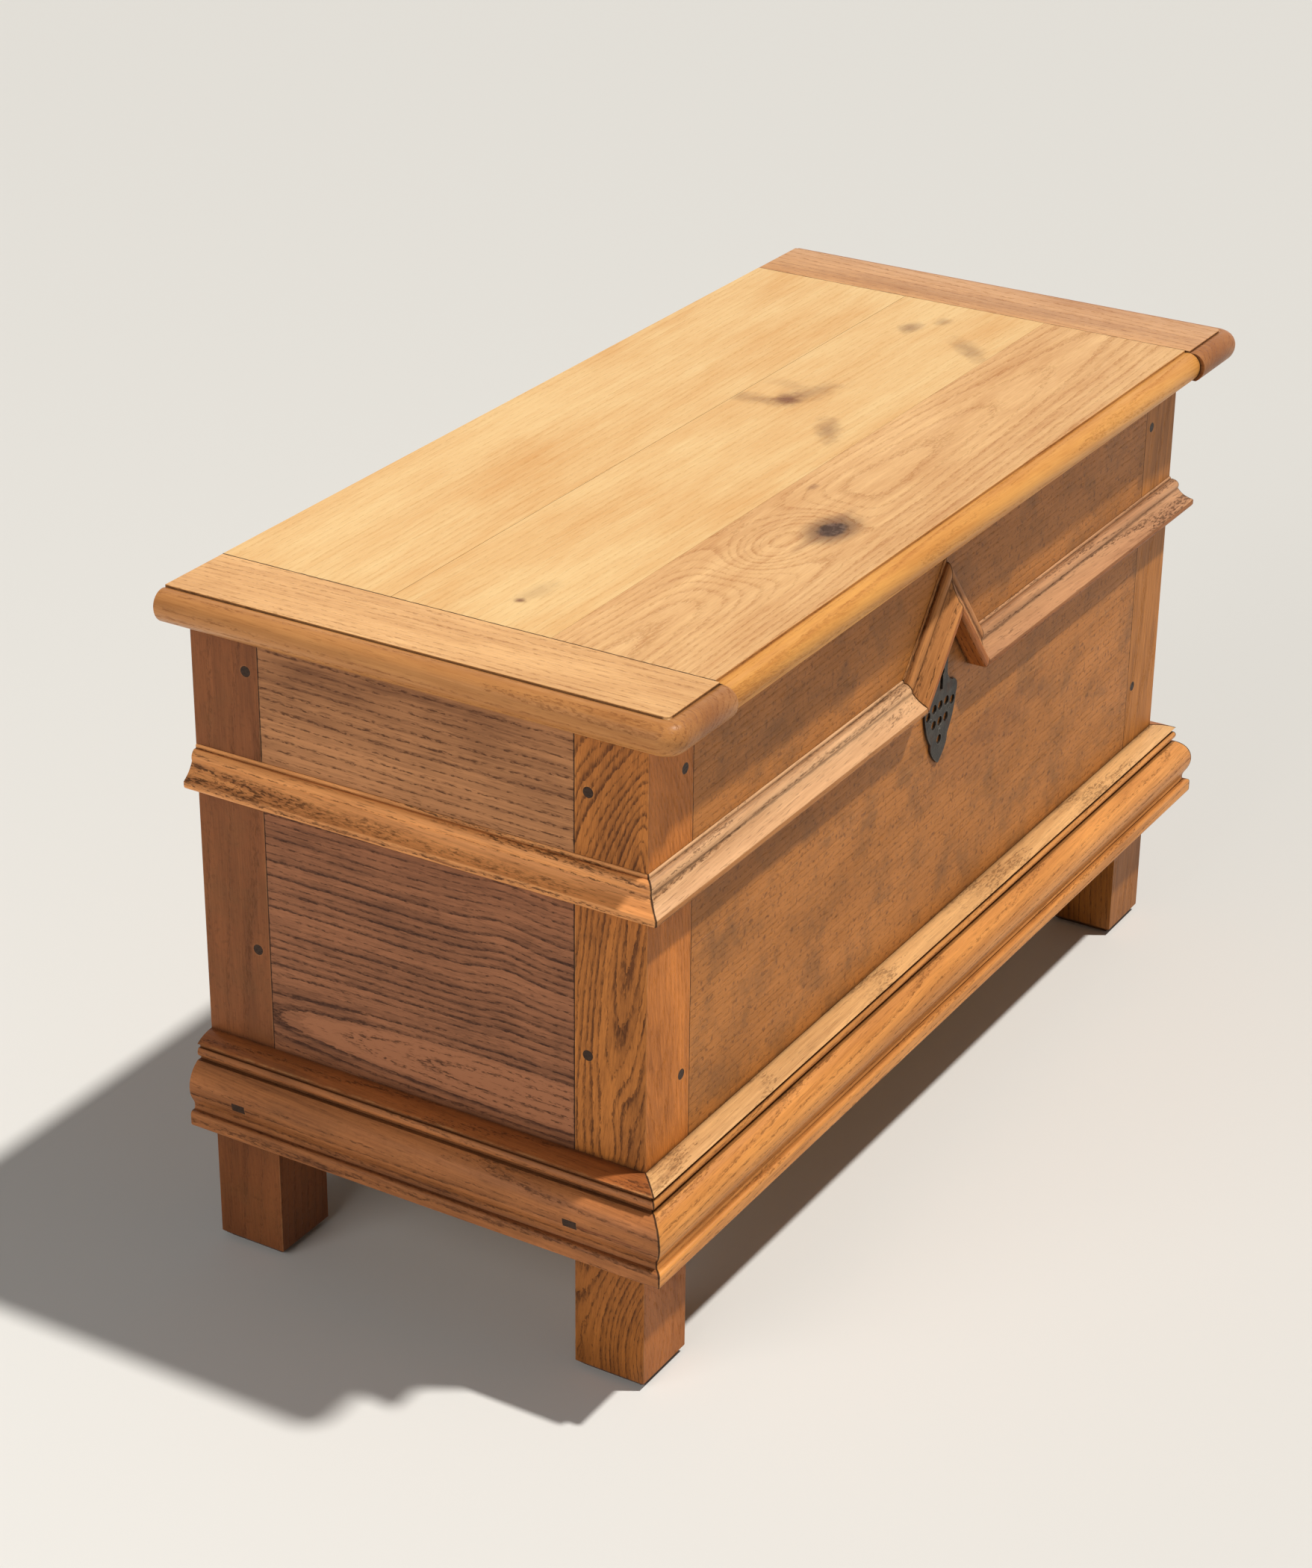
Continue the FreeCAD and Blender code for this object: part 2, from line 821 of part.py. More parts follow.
plug_y = front_face + size("plug_end_inset")
plug_mortises = [
    plug_mortise("front_plug_mortise", plug_y),
    plug_mortise("rear_plug_mortise", behind(plug_y)),
]
base_moulding_left = node(cut("base_moulding_left", base_end_run, plug_mortises))
node(mirrored("base_moulding_right", base_moulding_left, ACROSS))
left_plugs = [
    shared("front_plug", base_end_run, plug_mortises[0]),
    shared("rear_plug", base_end_run, plug_mortises[1]),
]
moulding_plugs_left = node(group("moulding_plugs_left", left_plugs))
node(mirrored("moulding_plugs_right", moulding_plugs_left, ACROSS))

mid_reach = size("mid_projection")
mid_underside = case_top - size("mid_underside_drop")
mid_left = moulding("mid_moulding_left", mid_profile(), 0, size("case_depth") + mid_reach)
corner_mitre(mid_left, size("case_depth"), 1, mid_reach)
node(on_left_end(mid_left, mid_underside))
node(mirrored("mid_moulding_right", mid_left, ACROSS))

# Chevron: the front moulding turns up into two arms that meet under the lid
rise = size("chevron_angle")
band = size("mid_height")
half_turn = tangent(rise / 2)
full_turn = tangent(rise)
turn_x = -size("chevron_half_width")
arm_length = size("chevron_half_width") / cosine(rise)
above = band + CUT_MARGIN
below = -length(CUT_MARGIN)

front_run = moulding(
    "mid_moulding_front_left", mid_profile(), left_face - mid_reach, turn_x + band * half_turn
)
corner_mitre(front_run, left_face, -1, mid_reach)
run_waste = [
    (turn_x - CUT_MARGIN * half_turn, above),
    (turn_x + above * half_turn, below),
    (turn_x + above * half_turn, above),
]
pocket_through(front_run, sketch(front_run, "front_run_turn", "XZ_Plane", run_waste))
node(put(front_run, 0, front_face, mid_underside))
node(mirrored("mid_moulding_front_right", front_run, ACROSS))

arm = moulding("chevron_arm_left", mid_profile(), -band * half_turn, arm_length)
foot_waste = [
    (CUT_MARGIN * half_turn, above),
    (-above * half_turn, above),
    (-above * half_turn, below),
]
apex_waste = [
    (arm_length + CUT_MARGIN * full_turn, above),
    (arm_length - above * full_turn, below),
    (arm_length + CUT_MARGIN * full_turn, below),
]
pocket_through(arm, sketch(arm, "arm_foot_mitre", "XZ_Plane", foot_waste))
pocket_through(arm, sketch(arm, "arm_apex_mitre", "XZ_Plane", apex_waste))
arm_tilt = FreeCAD.Rotation(FreeCAD.Vector(0, -1, 0), rise.number)
arm.Placement = FreeCAD.Placement(FreeCAD.Vector(), arm_tilt)
bind(arm, ".Placement.Rotation.Angle", rise)
mid_top = mid_underside + band
node(put(arm, turn_x + band * sine(rise), front_face, mid_top - band * cosine(rise)))
node(mirrored("chevron_arm_right", arm, ACROSS))


# Wood screws with countersunk heads, and the holes they fill
def screw(name, axis, head, clearance=0):
    spare = 2 * length(clearance)
    shank_diameter = size("screw_diameter") + spare
    head_diameter = size("screw_head_diameter") + spare
    countersink = cone(
        f"{name}_head", axis, head, head_diameter, shank_diameter, size("screw_head_height")
    )
    shank = rod(f"{name}_shank", axis, head, shank_diameter, size("screw_length"))
    return fused(name, [countersink, shank])


def screws(name, axis, heads):
    return [screw(f"{name}_{number}", axis, head) for number, head in enumerate(heads)]


def screw_holes(name, axis, heads):
    clearance = size("screw_clearance")
    return [screw(f"{name}_{number}", axis, head, clearance) for number, head in enumerate(heads)]


# Butt hinges: a leaf let into the back board, a leaf let into the lid, and a pin
KNUCKLES = 5
CASE_KNUCKLES = (0, 2, 4)
LID_KNUCKLES = (1, 3)
hinge_length = size("hinge_length")
barrel = size("hinge_barrel_diameter")
lid_rear = behind(front_face) + size("lid_rear_overhang")
hinge_y = lid_rear + size("hinge_barrel_gap") + barrel / 2
hinge_start = left_face + size("hinge_end_inset") - hinge_length / 2
hinge_run = (hinge_start, hinge_start + hinge_length)
leaf_front = hinge_y - size("hinge_leaf_width")
case_leaf_level = (case_top - size("hinge_leaf_thickness"), case_top)
lid_leaf_level = (case_top, case_top + size("hinge_leaf_thickness"))
hinge_heads = [
    (
        hinge_start + hinge_length / 2 + size("hinge_screw_pitch") * column,
        hinge_y - size("hinge_screw_setback"),
        case_top,
    )
    for column in (-1, 0, 1)
]
pin_bore = rod(
    "hinge_pin_bore",
    "+x",
    (hinge_start - CUT_MARGIN, hinge_y, case_top),
    size("hinge_pin_diameter") + 2 * size("hinge_pin_clearance"),
    hinge_length + 2 * CUT_MARGIN,
)


def hinge_leaf(name, level, own_knuckles, holes):
    """A leaf with its knuckles, cut back where the other leaf's knuckles turn."""
    pitch = hinge_length / KNUCKLES
    half_gap = size("hinge_knuckle_gap") / 2
    barrels = []
    clearings = []
    for number in range(KNUCKLES):
        start = hinge_start + pitch * number
        if number in own_knuckles:
            spot = (start + half_gap, hinge_y, case_top)
            barrels.append(rod(f"{name}_knuckle_{number}", "+x", spot, barrel, pitch - 2 * half_gap))
        else:
            clearings.append(
                block(
                    f"{name}_clearing_{number}",
                    (start - half_gap, start + pitch + half_gap),
                    (lid_rear, hinge_y),
                    level,
                )
            )
    plate = block(f"{name}_plate", hinge_run, (leaf_front, hinge_y), level)
    notched = cut(f"{name}_notched", plate, clearings)
    return node(cut(name, fused(f"{name}_whole", [notched] + barrels), [pin_bore] + holes))


case_screw_holes = screw_holes("hinge_case_screw_hole", "-z", hinge_heads)
lid_screw_holes = screw_holes("hinge_lid_screw_hole", "+z", hinge_heads)
hinge_left_case_leaf = hinge_leaf(
    "hinge_left_case_leaf", case_leaf_level, CASE_KNUCKLES, case_screw_holes
)
hinge_left_lid_leaf = hinge_leaf(
    "hinge_left_lid_leaf", lid_leaf_level, LID_KNUCKLES, lid_screw_holes
)
hinge_left_pin = node(
    rod(
        "hinge_left_pin",
        "+x",
        (hinge_start - size("hinge_pin_overrun"), hinge_y, case_top),
        size("hinge_pin_diameter"),
        hinge_length + 2 * size("hinge_pin_overrun"),
    )
)
node(mirrored("hinge_right_case_leaf", hinge_left_case_leaf, ACROSS))
node(mirrored("hinge_right_lid_leaf", hinge_left_lid_leaf, ACROSS))
node(mirrored("hinge_right_pin", hinge_left_pin, ACROSS))
node(pair("hinge_case_screws", screws("hinge_case_screw", "-z", hinge_heads), ACROSS))
node(pair("hinge_lid_screws", screws("hinge_lid_screw", "+z", hinge_heads), ACROSS))

case_leaf_recess = block("case_leaf_recess", hinge_run, (leaf_front, hinge_y), case_leaf_level)
lid_leaf_recess = block("lid_leaf_recess", hinge_run, (leaf_front, hinge_y), lid_leaf_level)
case_leaf_seat = fused("case_leaf_seat", [case_leaf_recess] + case_screw_holes)
lid_leaf_seat = fused("lid_leaf_seat", [lid_leaf_recess] + lid_screw_holes)
back_recesses = pair("back_board_recesses", [case_leaf_seat], ACROSS)
lid_recesses = pair("lid_board_recesses", [lid_leaf_seat], ACROSS)
node(cut("back_upper_board", back_upper_blank, [back_recesses]))


# Keyhole through the escutcheon, the front board and the lock plate
plate_face = inside_front + size("lock_plate_thickness")
keyhole_level = case_top - size("keyhole_drop")
keyhole_start = front_face - CUT_MARGIN
half_slot = size("keyhole_slot_width") / 2
key_bore = rod(
    "key_bore",
    "+y",
    (0, keyhole_start, keyhole_level),
    size("keyhole_diameter"),
    plate_face - keyhole_start,
)
key_slot = block(
    "key_slot",
    (-half_slot, half_slot),
    (keyhole_start, plate_face),
    (keyhole_level - size("keyhole_slot_length"), keyhole_level),
)
keyhole = fused("keyhole", [key_bore, key_slot])


# Pierced iron escutcheon with its pins
def escutcheon_outline():
    """Right side from the foot up, then the left side down; heights are above the foot."""
    half_lobe = size("escutcheon_lobe_width") / 2
    half_waist = size("escutcheon_waist_width") / 2
    half_shoulder = size("escutcheon_width") / 2
    half_crown = size("escutcheon_crown_width") / 2
    half_neck = size("escutcheon_neck_width") / 2
    side = [
        (half_lobe, size("escutcheon_lobe_height")),
        (half_waist, size("escutcheon_waist_height")),
        (half_shoulder, size("escutcheon_shoulder_height")),
        (half_crown, size("escutcheon_crown_height")),
        (half_neck, size("escutcheon_neck_height")),
        (half_neck, size("escutcheon_arch_height")),
    ]
    outline = [(0, 0)] + side + [(0, size("escutcheon_height"))]
    outline += [(-x, z) for x, z in reversed(side)]
    right_arcs = {
        0: (size("escutcheon_lobe_radius"), -1),
        2: (size("escutcheon_flank_radius"), -1),
        3: (size("escutcheon_shoulder_radius"), -1),
        4: (size("escutcheon_neck_radius"), 1),
        6: (size("escutcheon_arch_radius"), -1),
    }
    last = len(outline) - 1
    left_arcs = {last - index: arc for index, arc in right_arcs.items()}
    return outline, {**right_arcs, **left_arcs}


escutcheon_foot = case_top - size("escutcheon_foot_drop")
escutcheon_face = front_face - size("escutcheon_thickness")
piercing_x = size("piercing_spread")
lower_row = size("piercing_lower_row")
upper_row = size("piercing_upper_row")
piercing_spots = [
    (0, size("piercing_foot")),
    (-piercing_x, lower_row),
    (0, lower_row),
    (piercing_x, lower_row),
    (-piercing_x, upper_row),
    (0, upper_row),
    (piercing_x, upper_row),
    (-2 * piercing_x, upper_row - size("piercing_outer_drop")),
    (2 * piercing_x, upper_row - size("piercing_outer_drop")),
]
pin_spots = [
    (0, size("escutcheon_pin_low")),
    (0, size("escutcheon_pin_high")),
    (-size("escutcheon_pin_spread"), size("escutcheon_pin_side")),
    (size("escutcheon_pin_spread"), size("escutcheon_pin_side")),
]


def escutcheon_rods(name, spots, diameter, reach):
    """Rods into the front at spots given as x and height above the escutcheon's foot."""
    return [
        rod(f"{name}_{number}", "+y", (x, escutcheon_face, escutcheon_foot + z), diameter, reach)
        for number, (x, z) in enumerate(spots)
    ]


def escutcheon_pins():
    shanks = escutcheon_rods(
        "escutcheon_shank", pin_spots, size("escutcheon_pin_diameter"), size("escutcheon_pin_length")
    )
    pins = []
    for number, (x, z) in enumerate(pin_spots):
        head = cone(
            f"escutcheon_pin_head_{number}",
            "-y",
            (x, escutcheon_face, escutcheon_foot + z),
            size("escutcheon_pin_head_diameter"),
            size("escutcheon_pin_diameter"),
            size("escutcheon_pin_head_height"),
        )
        pins.append(fused(f"escutcheon_pin_{number}", [shanks[number], head]))
    return pins


piercings = escutcheon_rods(
    "piercing", piercing_spots, size("piercing_diameter"), size("escutcheon_thickness")
)
pin_holes = escutcheon_rods(
    "escutcheon_pin_hole",
    pin_spots,
    size("escutcheon_pin_diameter") + 2 * size("escutcheon_pin_clearance"),
    size("escutcheon_pin_length"),
)
escutcheon_blank = new_body("escutcheon_blank")
escutcheon_drawing = sketch(escutcheon_blank, "escutcheon_shape", "XZ_Plane", *escutcheon_outline())
pad(escutcheon_blank, escutcheon_drawing, size("escutcheon_thickness"))
put(escutcheon_blank, 0, front_face, escutcheon_foot)
node(cut("escutcheon", escutcheon_blank, [keyhole] + piercings + pin_holes))
node(group("escutcheon_pins", escutcheon_pins()))


# Box lock: plate with two shouldered studs, cover, sliding bolt and screws
lock_top = case_top - size("lock_top_gap")
lock_foot = lock_top - size("lock_plate_height")
half_plate = size("lock_plate_width") / 2
half_cover = size("lock_case_width") / 2
wall = size("lock_wall")
cover_margin = (size("lock_plate_height") - size("lock_case_height")) / 2
cover_back = plate_face + size("lock_case_depth")
cover_level = (lock_foot + cover_margin, lock_top - cover_margin)
cavity_top = cover_level[1] - wall
bolt_y = plate_face + size("bolt_setback")
bolt_range = (bolt_y - size("bolt_thickness") / 2, bolt_y + size("bolt_thickness") / 2)
half_staple = size("staple_width") / 2
bolt_tip = -half_staple - size("bolt_to_staple")
bolt_left = bolt_tip - size("bolt_length")
bolt_top = cavity_top - size("bolt_top_gap")
bolt_foot = keyhole_level + size("bolt_foot_above_key")
foot_top = bolt_foot + size("bolt_foot_height")
tail_right = bolt_tip - size("bolt_throw")
stud = size("stud_diameter")
stud_gap = size("stud_clearance")
stud_x = tail_right - size("stud_inset")
stud_levels = (foot_top + size("stud_margin"), bolt_top - size("bolt_height") - size("stud_margin"))

lock_heads = [
    (side * (half_plate - size("lock_screw_inset")), plate_face, level)
    for side in (-1, 1)
    for level in (lock_foot + size("lock_screw_inset"), lock_top - size("lock_screw_inset"))
]
lock_holes = screw_holes("lock_screw_hole", "-y", lock_heads)
node(group("lock_screws", screws("lock_screw", "-y", lock_heads)))
node(cut("front_upper_board", upper_blank, [keyhole] + lock_holes + pin_holes))

lock_blank = block(
    "lock_plate_blank", (-half_plate, half_plate), (inside_front, plate_face), (lock_foot, lock_top)
)
shoulder = size("stud_shoulder_diameter")
shoulder_reach = bolt_range[0] - stud_gap - plate_face
stud_reach = bolt_range[1] + size("stud_overrun") - plate_face
studs = []
for number, level in enumerate(stud_levels):
    spot = (stud_x, plate_face, level)
    studs.append(rod(f"stud_shoulder_{number}", "+y", spot, shoulder, shoulder_reach))
    studs.append(rod(f"stud_{number}", "+y", spot, stud, stud_reach))
lock_plate_solid = cut("lock_plate_bored", lock_blank, [keyhole] + lock_holes)
node(fused("lock_plate", [lock_plate_solid] + studs))

cover_blank = block("lock_case_blank", (-half_cover, half_cover), (plate_face, cover_back), cover_level)
cover_cavity = block(
    "lock_case_cavity",
    (-half_cover + wall, half_cover - wall),
    (plate_face, cover_back - wall),
    (cover_level[0] + wall, cavity_top),
)
staple_gap = size("staple_slot_gap")
leg_reach = size("staple_eye_width") / 2 + size("staple_leg")
staple_slot = block(
    "lock_case_slot",
    (-half_staple - staple_gap, half_staple + staple_gap),
    (bolt_y - leg_reach - staple_gap, bolt_y + leg_reach + staple_gap),
    (cavity_top, cover_level[1]),
)
node(cut("lock_case", cover_blank, [cover_cavity, staple_slot]))


def stud_slot(number, level):
    """Slot in the bolt's tail that lets it slide past a stud."""
    half_height = stud / 2 + stud_gap
    return block(
        f"bolt_slot_{number}",
        (stud_x - size("bolt_throw") - half_height, stud_x + half_height),
        bolt_range,
        (level - half_height, level + half_height),
    )


half_talon = size("key_talon_width") / 2
head_foot = bolt_top - size("bolt_height")
toe_right = half_talon + size("bolt_toe_margin")
bolt_head = block("bolt_head", (bolt_left, bolt_tip), bolt_range, (head_foot, bolt_top))
bolt_tail = block("bolt_tail", (bolt_left, tail_right), bolt_range, (bolt_foot, bolt_top))
bolt_toe = block("bolt_toe", (bolt_left, toe_right), bolt_range, (bolt_foot, foot_top))
talon = block(
    "bolt_talon", (-half_talon, half_talon), bolt_range, (bolt_foot, bolt_foot + size("key_talon_height"))
)
bolt_blank = fused("lock_bolt_blank", [bolt_head, bolt_tail, bolt_toe])
bolt_slots = [stud_slot(number, level) for number, level in enumerate(stud_levels)]
node(cut("lock_bolt", bolt_blank, bolt_slots + [talon]))


# Staple let into the underside of the lid, which the bolt shoots through
half_eye = size("staple_eye_width") / 2
eye_foot = case_top - size("staple_eye_height")
half_staple_plate = size("staple_plate_width") / 2
staple_plate_y = (bolt_y - size("staple_plate_depth") / 2, bolt_y + size("staple_plate_depth") / 2)
staple_level = (case_top, case_top + size("staple_plate_thickness"))
staple_heads = [(side * size("staple_screw_spread") / 2, bolt_y, case_top) for side in (-1, 1)]
staple_holes = screw_holes("staple_screw_hole", "+z", staple_heads)
staple_plate = block("staple_plate", (-half_staple_plate, half_staple_plate), staple_plate_y, staple_level)
staple_loop = block(
    "staple_loop",
    (-half_staple, half_staple),
    (bolt_y - leg_reach, bolt_y + leg_reach),
    (eye_foot - size("staple_bar"), case_top),
)
staple_eye = block(
    "staple_eye", (-half_staple, half_staple), (bolt_y - half_eye, bolt_y + half_eye), (eye_foot, case_top)
)
staple_blank = fused("lid_staple_blank", [staple_plate, staple_loop])
node(cut("lid_staple", staple_blank, [staple_eye] + staple_holes))
node(group("lid_staple_screws", screws("lid_staple_screw", "+z", staple_heads)))


# Lid: three boards tongued into a clamp at each end, moulded at the front and the ends
lid_top = case_top + size("lid_thickness")
lid_end = half_length + size("lid_end_overhang")
clamp_joint = lid_end - size("clamp_width")
lid_nose = front_face - size("lid_front_overhang")
clamp_nose = lid_nose - size("clamp_step")
rear_joint = lid_rear - size("lid_rear_board_width")
front_board_joint = lid_nose + size("lid_front_board_width")
tongue_stop = lid_nose + size("lid_tongue_front_stop")
tongue_margin = (size("lid_thickness") - size("lid_tongue_thickness")) / 2
lid_tongue_level = (case_top + tongue_margin, lid_top - tongue_margin)
lid_tongue_end = clamp_joint + size("lid_tongue_length")
thickness = size("lid_thickness")


def lid_tongue(name, y):
    return block(f"{name}_tongue", (-lid_tongue_end, lid_tongue_end), y, lid_tongue_level)


def lid_board(name, y):
    main = block(f"{name}_main", (-clamp_joint, clamp_joint), y, (case_top, lid_top))
    return fused(name, [main, lid_tongue(name, y)])


def moulded_edge(nose):
    """The lid's front edge at a nose, from the top down: quirk, upper round, nose, lower round."""
    points = [
        (nose + size("lid_quirk_inset"), thickness - size("lid_quirk_depth")),
        (nose, size("lid_nose_height")),
        (nose + size("lid_lower_inset"), 0),
    ]
    return points, (size("lid_upper_radius"), size("lid_lower_radius"))


def moulded_board():
    body = new_body("lid_front_moulded")
    edge, (upper_radius, lower_radius) = moulded_edge(lid_nose)
    outline = [(front_board_joint, 0), (front_board_joint, thickness), (edge[0][0], thickness)] + edge
    arcs = {3: (upper_radius, -1), 4: (lower_radius, -1)}
    drawing = sketch(body, "lid_front_section", "YZ_Plane", outline, arcs)
    pad(body, drawing, 2 * clamp_joint, symmetric=True)
    return put(body, 0, 0, case_top)


def left_clamp():
    """The clamp's blank, with its edge swept away along the front, the corner and the end."""
    body = new_body("clamp_left_blank")
    corner = size("clamp_corner_radius")
    blank_corner = corner + CUT_MARGIN
    blank_front = clamp_nose - CUT_MARGIN
    blank_end = -lid_end - CUT_MARGIN
    outline = [
        (-clamp_joint, blank_front),
        (-clamp_joint, lid_rear),
        (blank_end, lid_rear),
        (blank_end, blank_front + blank_corner),
        (blank_end + blank_corner, blank_front),
    ]
    plan = sketch(body, "clamp_plan", "XY_Plane", outline, {3: (blank_corner, -1)})
    pad(body, plan, thickness)
    path_start = -clamp_joint + CUT_MARGIN
    path_points = [
        (path_start, clamp_nose),
        (-lid_end + corner, clamp_nose),
        (-lid_end, clamp_nose + corner),
        (-lid_end, lid_rear + CUT_MARGIN),
    ]
    path = sketch(body, "clamp_edge_path", "XY_Plane", path_points, {1: (corner, 1)}, closed=False)
    edge, (upper_radius, lower_radius) = moulded_edge(clamp_nose)
    over = thickness + CUT_MARGIN
    outside = clamp_nose - 2 * CUT_MARGIN
    waste = [(edge[0][0], over)] + edge + [(edge[2][0], below), (outside, below), (outside, over)]
    arcs = {1: (upper_radius, -1), 2: (lower_radius, -1)}
    profile = sketch(body, "clamp_edge_waste", "YZ_Plane", waste, arcs, offset=path_start)
    sweep = body.newObject("PartDesign::SubtractivePipe", "clamp_edge")
    sweep.Profile = profile
    sweep.Spine = (path, [f"Edge{number}" for number in range(1, len(path_points))])
    return put(body, 0, 0, case_top)


rear_blank = lid_board("lid_rear_blank", (rear_joint, lid_rear))
node(cut("lid_board_rear", rear_blank, [lid_recesses]))
node(lid_board("lid_board_middle", (front_board_joint, rear_joint)))
front_tongue = lid_tongue("lid_board_front", (tongue_stop, front_board_joint))
front_blank = fused("lid_front_blank", [moulded_board(), front_tongue])
staple_recess = block("staple_recess", (-half_staple_plate, half_staple_plate), staple_plate_y, staple_level)
node(cut("lid_board_front", front_blank, [staple_recess] + staple_holes))

clamp_groove = block(
    "clamp_groove",
    (-lid_tongue_end - size("groove_relief"), -clamp_joint),
    (tongue_stop - size("groove_relief"), lid_rear),
    lid_tongue_level,
)
clamp_left = node(cut("clamp_left", left_clamp(), [clamp_groove]))
node(mirrored("clamp_right", clamp_left, ACROSS))


doc.recompute()
faulty = [obj.Name for obj in doc.Objects if "Invalid" in obj.State or "Error" in obj.State]
if faulty:
    raise RuntimeError(f"objects that failed to build: {faulty}")
os.makedirs("parts", exist_ok=True)
for piece in nodes:
    if piece.Shape.isNull() or not piece.Shape.isValid():
        raise RuntimeError(f"no valid shape: {piece.Label}")
    piece.Shape.exportStep(f"parts/{piece.Label}.step")
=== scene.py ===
"""Looks of the oak blanket chest: figured oak for the boards, dark iron for the fittings, plain studio."""

import math

import bpy
from mathutils import Matrix, Vector

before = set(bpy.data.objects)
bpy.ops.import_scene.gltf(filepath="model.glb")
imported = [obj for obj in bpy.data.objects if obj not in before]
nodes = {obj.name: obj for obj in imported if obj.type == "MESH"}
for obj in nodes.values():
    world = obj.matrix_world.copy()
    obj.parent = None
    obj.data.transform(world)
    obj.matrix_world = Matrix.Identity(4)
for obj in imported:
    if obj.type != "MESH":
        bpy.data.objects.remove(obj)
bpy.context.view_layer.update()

MM = 0.001


def srgb(red, green, blue):
    """Scene-linear colour of an sRGB triple from 0 to 255."""
    def linear(level):
        level /= 255
        return level / 12.92 if level <= 0.04045 else ((level + 0.055) / 1.055) ** 2.4
    return linear(red), linear(green), linear(blue), 1.0


class Tree:
    """Adds nodes to a node tree, with each input given as a value or as another node's output."""

    def __init__(self, tree):
        self.tree = tree

    def add(self, kind, inputs=None, **settings):
        node = self.tree.nodes.new(kind)
        for name, value in settings.items():
            setattr(node, name, value)
        return self.feed(node, inputs or {})

    def feed(self, node, inputs):
        for key, value in inputs.items():
            if isinstance(value, bpy.types.NodeSocket):
                self.tree.links.new(value, node.inputs[key])
            else:
                node.inputs[key].default_value = value
        return node

    def math(self, operation, *values):
        return self.add("ShaderNodeMath", dict(enumerate(values)), operation=operation).outputs[0]

    def total(self, *values):
        result = values[0]
        for value in values[1:]:
            result = self.math("ADD", result, value)
        return result

    def product(self, *values):
        result = values[0]
        for value in values[1:]:
            result = self.math("MULTIPLY", result, value)
        return result

    def noise(self, vector, frequency, detail=2.0, roughness=0.5):
        """Noise from 0 to 1 with its own frequency, per metre, along each axis of the vector."""
        scaled = self.add("ShaderNodeVectorMath", {0: vector, 1: frequency}, operation="MULTIPLY")
        return self.add(
            "ShaderNodeTexNoise",
            {"Vector": scaled.outputs[0], "Scale": 1.0, "Detail": detail, "Roughness": roughness},
        ).outputs[0]

    def spread(self, noise, amount):
        """Noise moved to run from -amount to amount."""
        return self.math("MULTIPLY", self.math("SUBTRACT", noise, 0.5), self.math("MULTIPLY", amount, 2.0))

    def step(self, value, low, high, start=0.0, end=1.0):
        """Smooth step from start to end as the value goes from low to high."""
        inputs = {"Value": value, "From Min": low, "From Max": high, "To Min": start, "To Max": end}
        return self.add("ShaderNodeMapRange", inputs, interpolation_type="SMOOTHSTEP").outputs[0]

    def mix(self, factor, first, second, blend="MIX"):
        return self.add(
            "ShaderNodeMix", {0: factor, 6: first, 7: second}, data_type="RGBA", blend_type=blend
        ).outputs[2]

    def reach(self, point, centre, size, turn=(0.0, 0.0, 0.0)):
        """Distance from a centre in units of a size along each axis of a turned box."""
        inputs = {"Vector": point, "Location": centre, "Rotation": turn, "Scale": size}
        moved = self.add("ShaderNodeMapping", inputs, vector_type="TEXTURE").outputs[0]
        return self.add("ShaderNodeVectorMath", {0: moved}, operation="LENGTH").outputs["Value"]


def new_group(name, inputs, outputs):
    """An empty node group with these sockets, and its Tree, its inputs and its output node."""
    group = bpy.data.node_groups.new(name, "ShaderNodeTree")
    for socket, kind in inputs.items():
        group.interface.new_socket(socket, in_out="INPUT", socket_type="NodeSocket" + kind)
    for socket, kind in outputs.items():
        group.interface.new_socket(socket, in_out="OUTPUT", socket_type="NodeSocket" + kind)
    tree = Tree(group)
    return group, tree, tree.add("NodeGroupInput").outputs, tree.add("NodeGroupOutput")


# Noises in the oak: frequency per metre along the grain and across it, detail and, where given, roughness.
WAVE = ((4.5, 15.0, 15.0), 2.0)
RAGGED = ((34.0, 240.0, 240.0), 3.0, 0.65)
FRAYED = ((170.0, 480.0, 480.0), 3.0, 0.7)
BROKEN = ((24.0, 260.0, 260.0), 3.0, 0.65)
DASHES = ((170.0, 640.0, 640.0), 2.0, 0.6)
SPECKS = ((75.0, 880.0, 880.0), 1.0)
FIBRE = ((18.0, 680.0, 680.0), 4.0, 0.7)
STREAK = ((5.0, 130.0, 130.0), 3.0, 0.62)
BLOTCH = ((5.0, 17.0, 17.0), 4.0, 0.6)
RAGGED_DEPTH = 1.2 * MM
FRAYED_DEPTH = 1.3 * MM

# How the heartwood differs: thicker and stronger lines on paler wood.
HEART_BAND, HEART_CONTRAST, HEART_SHADE = 0.4, 0.9, -0.8
MEAN_SHADE = 0.34
OAK_ROUGHNESS = 0.44


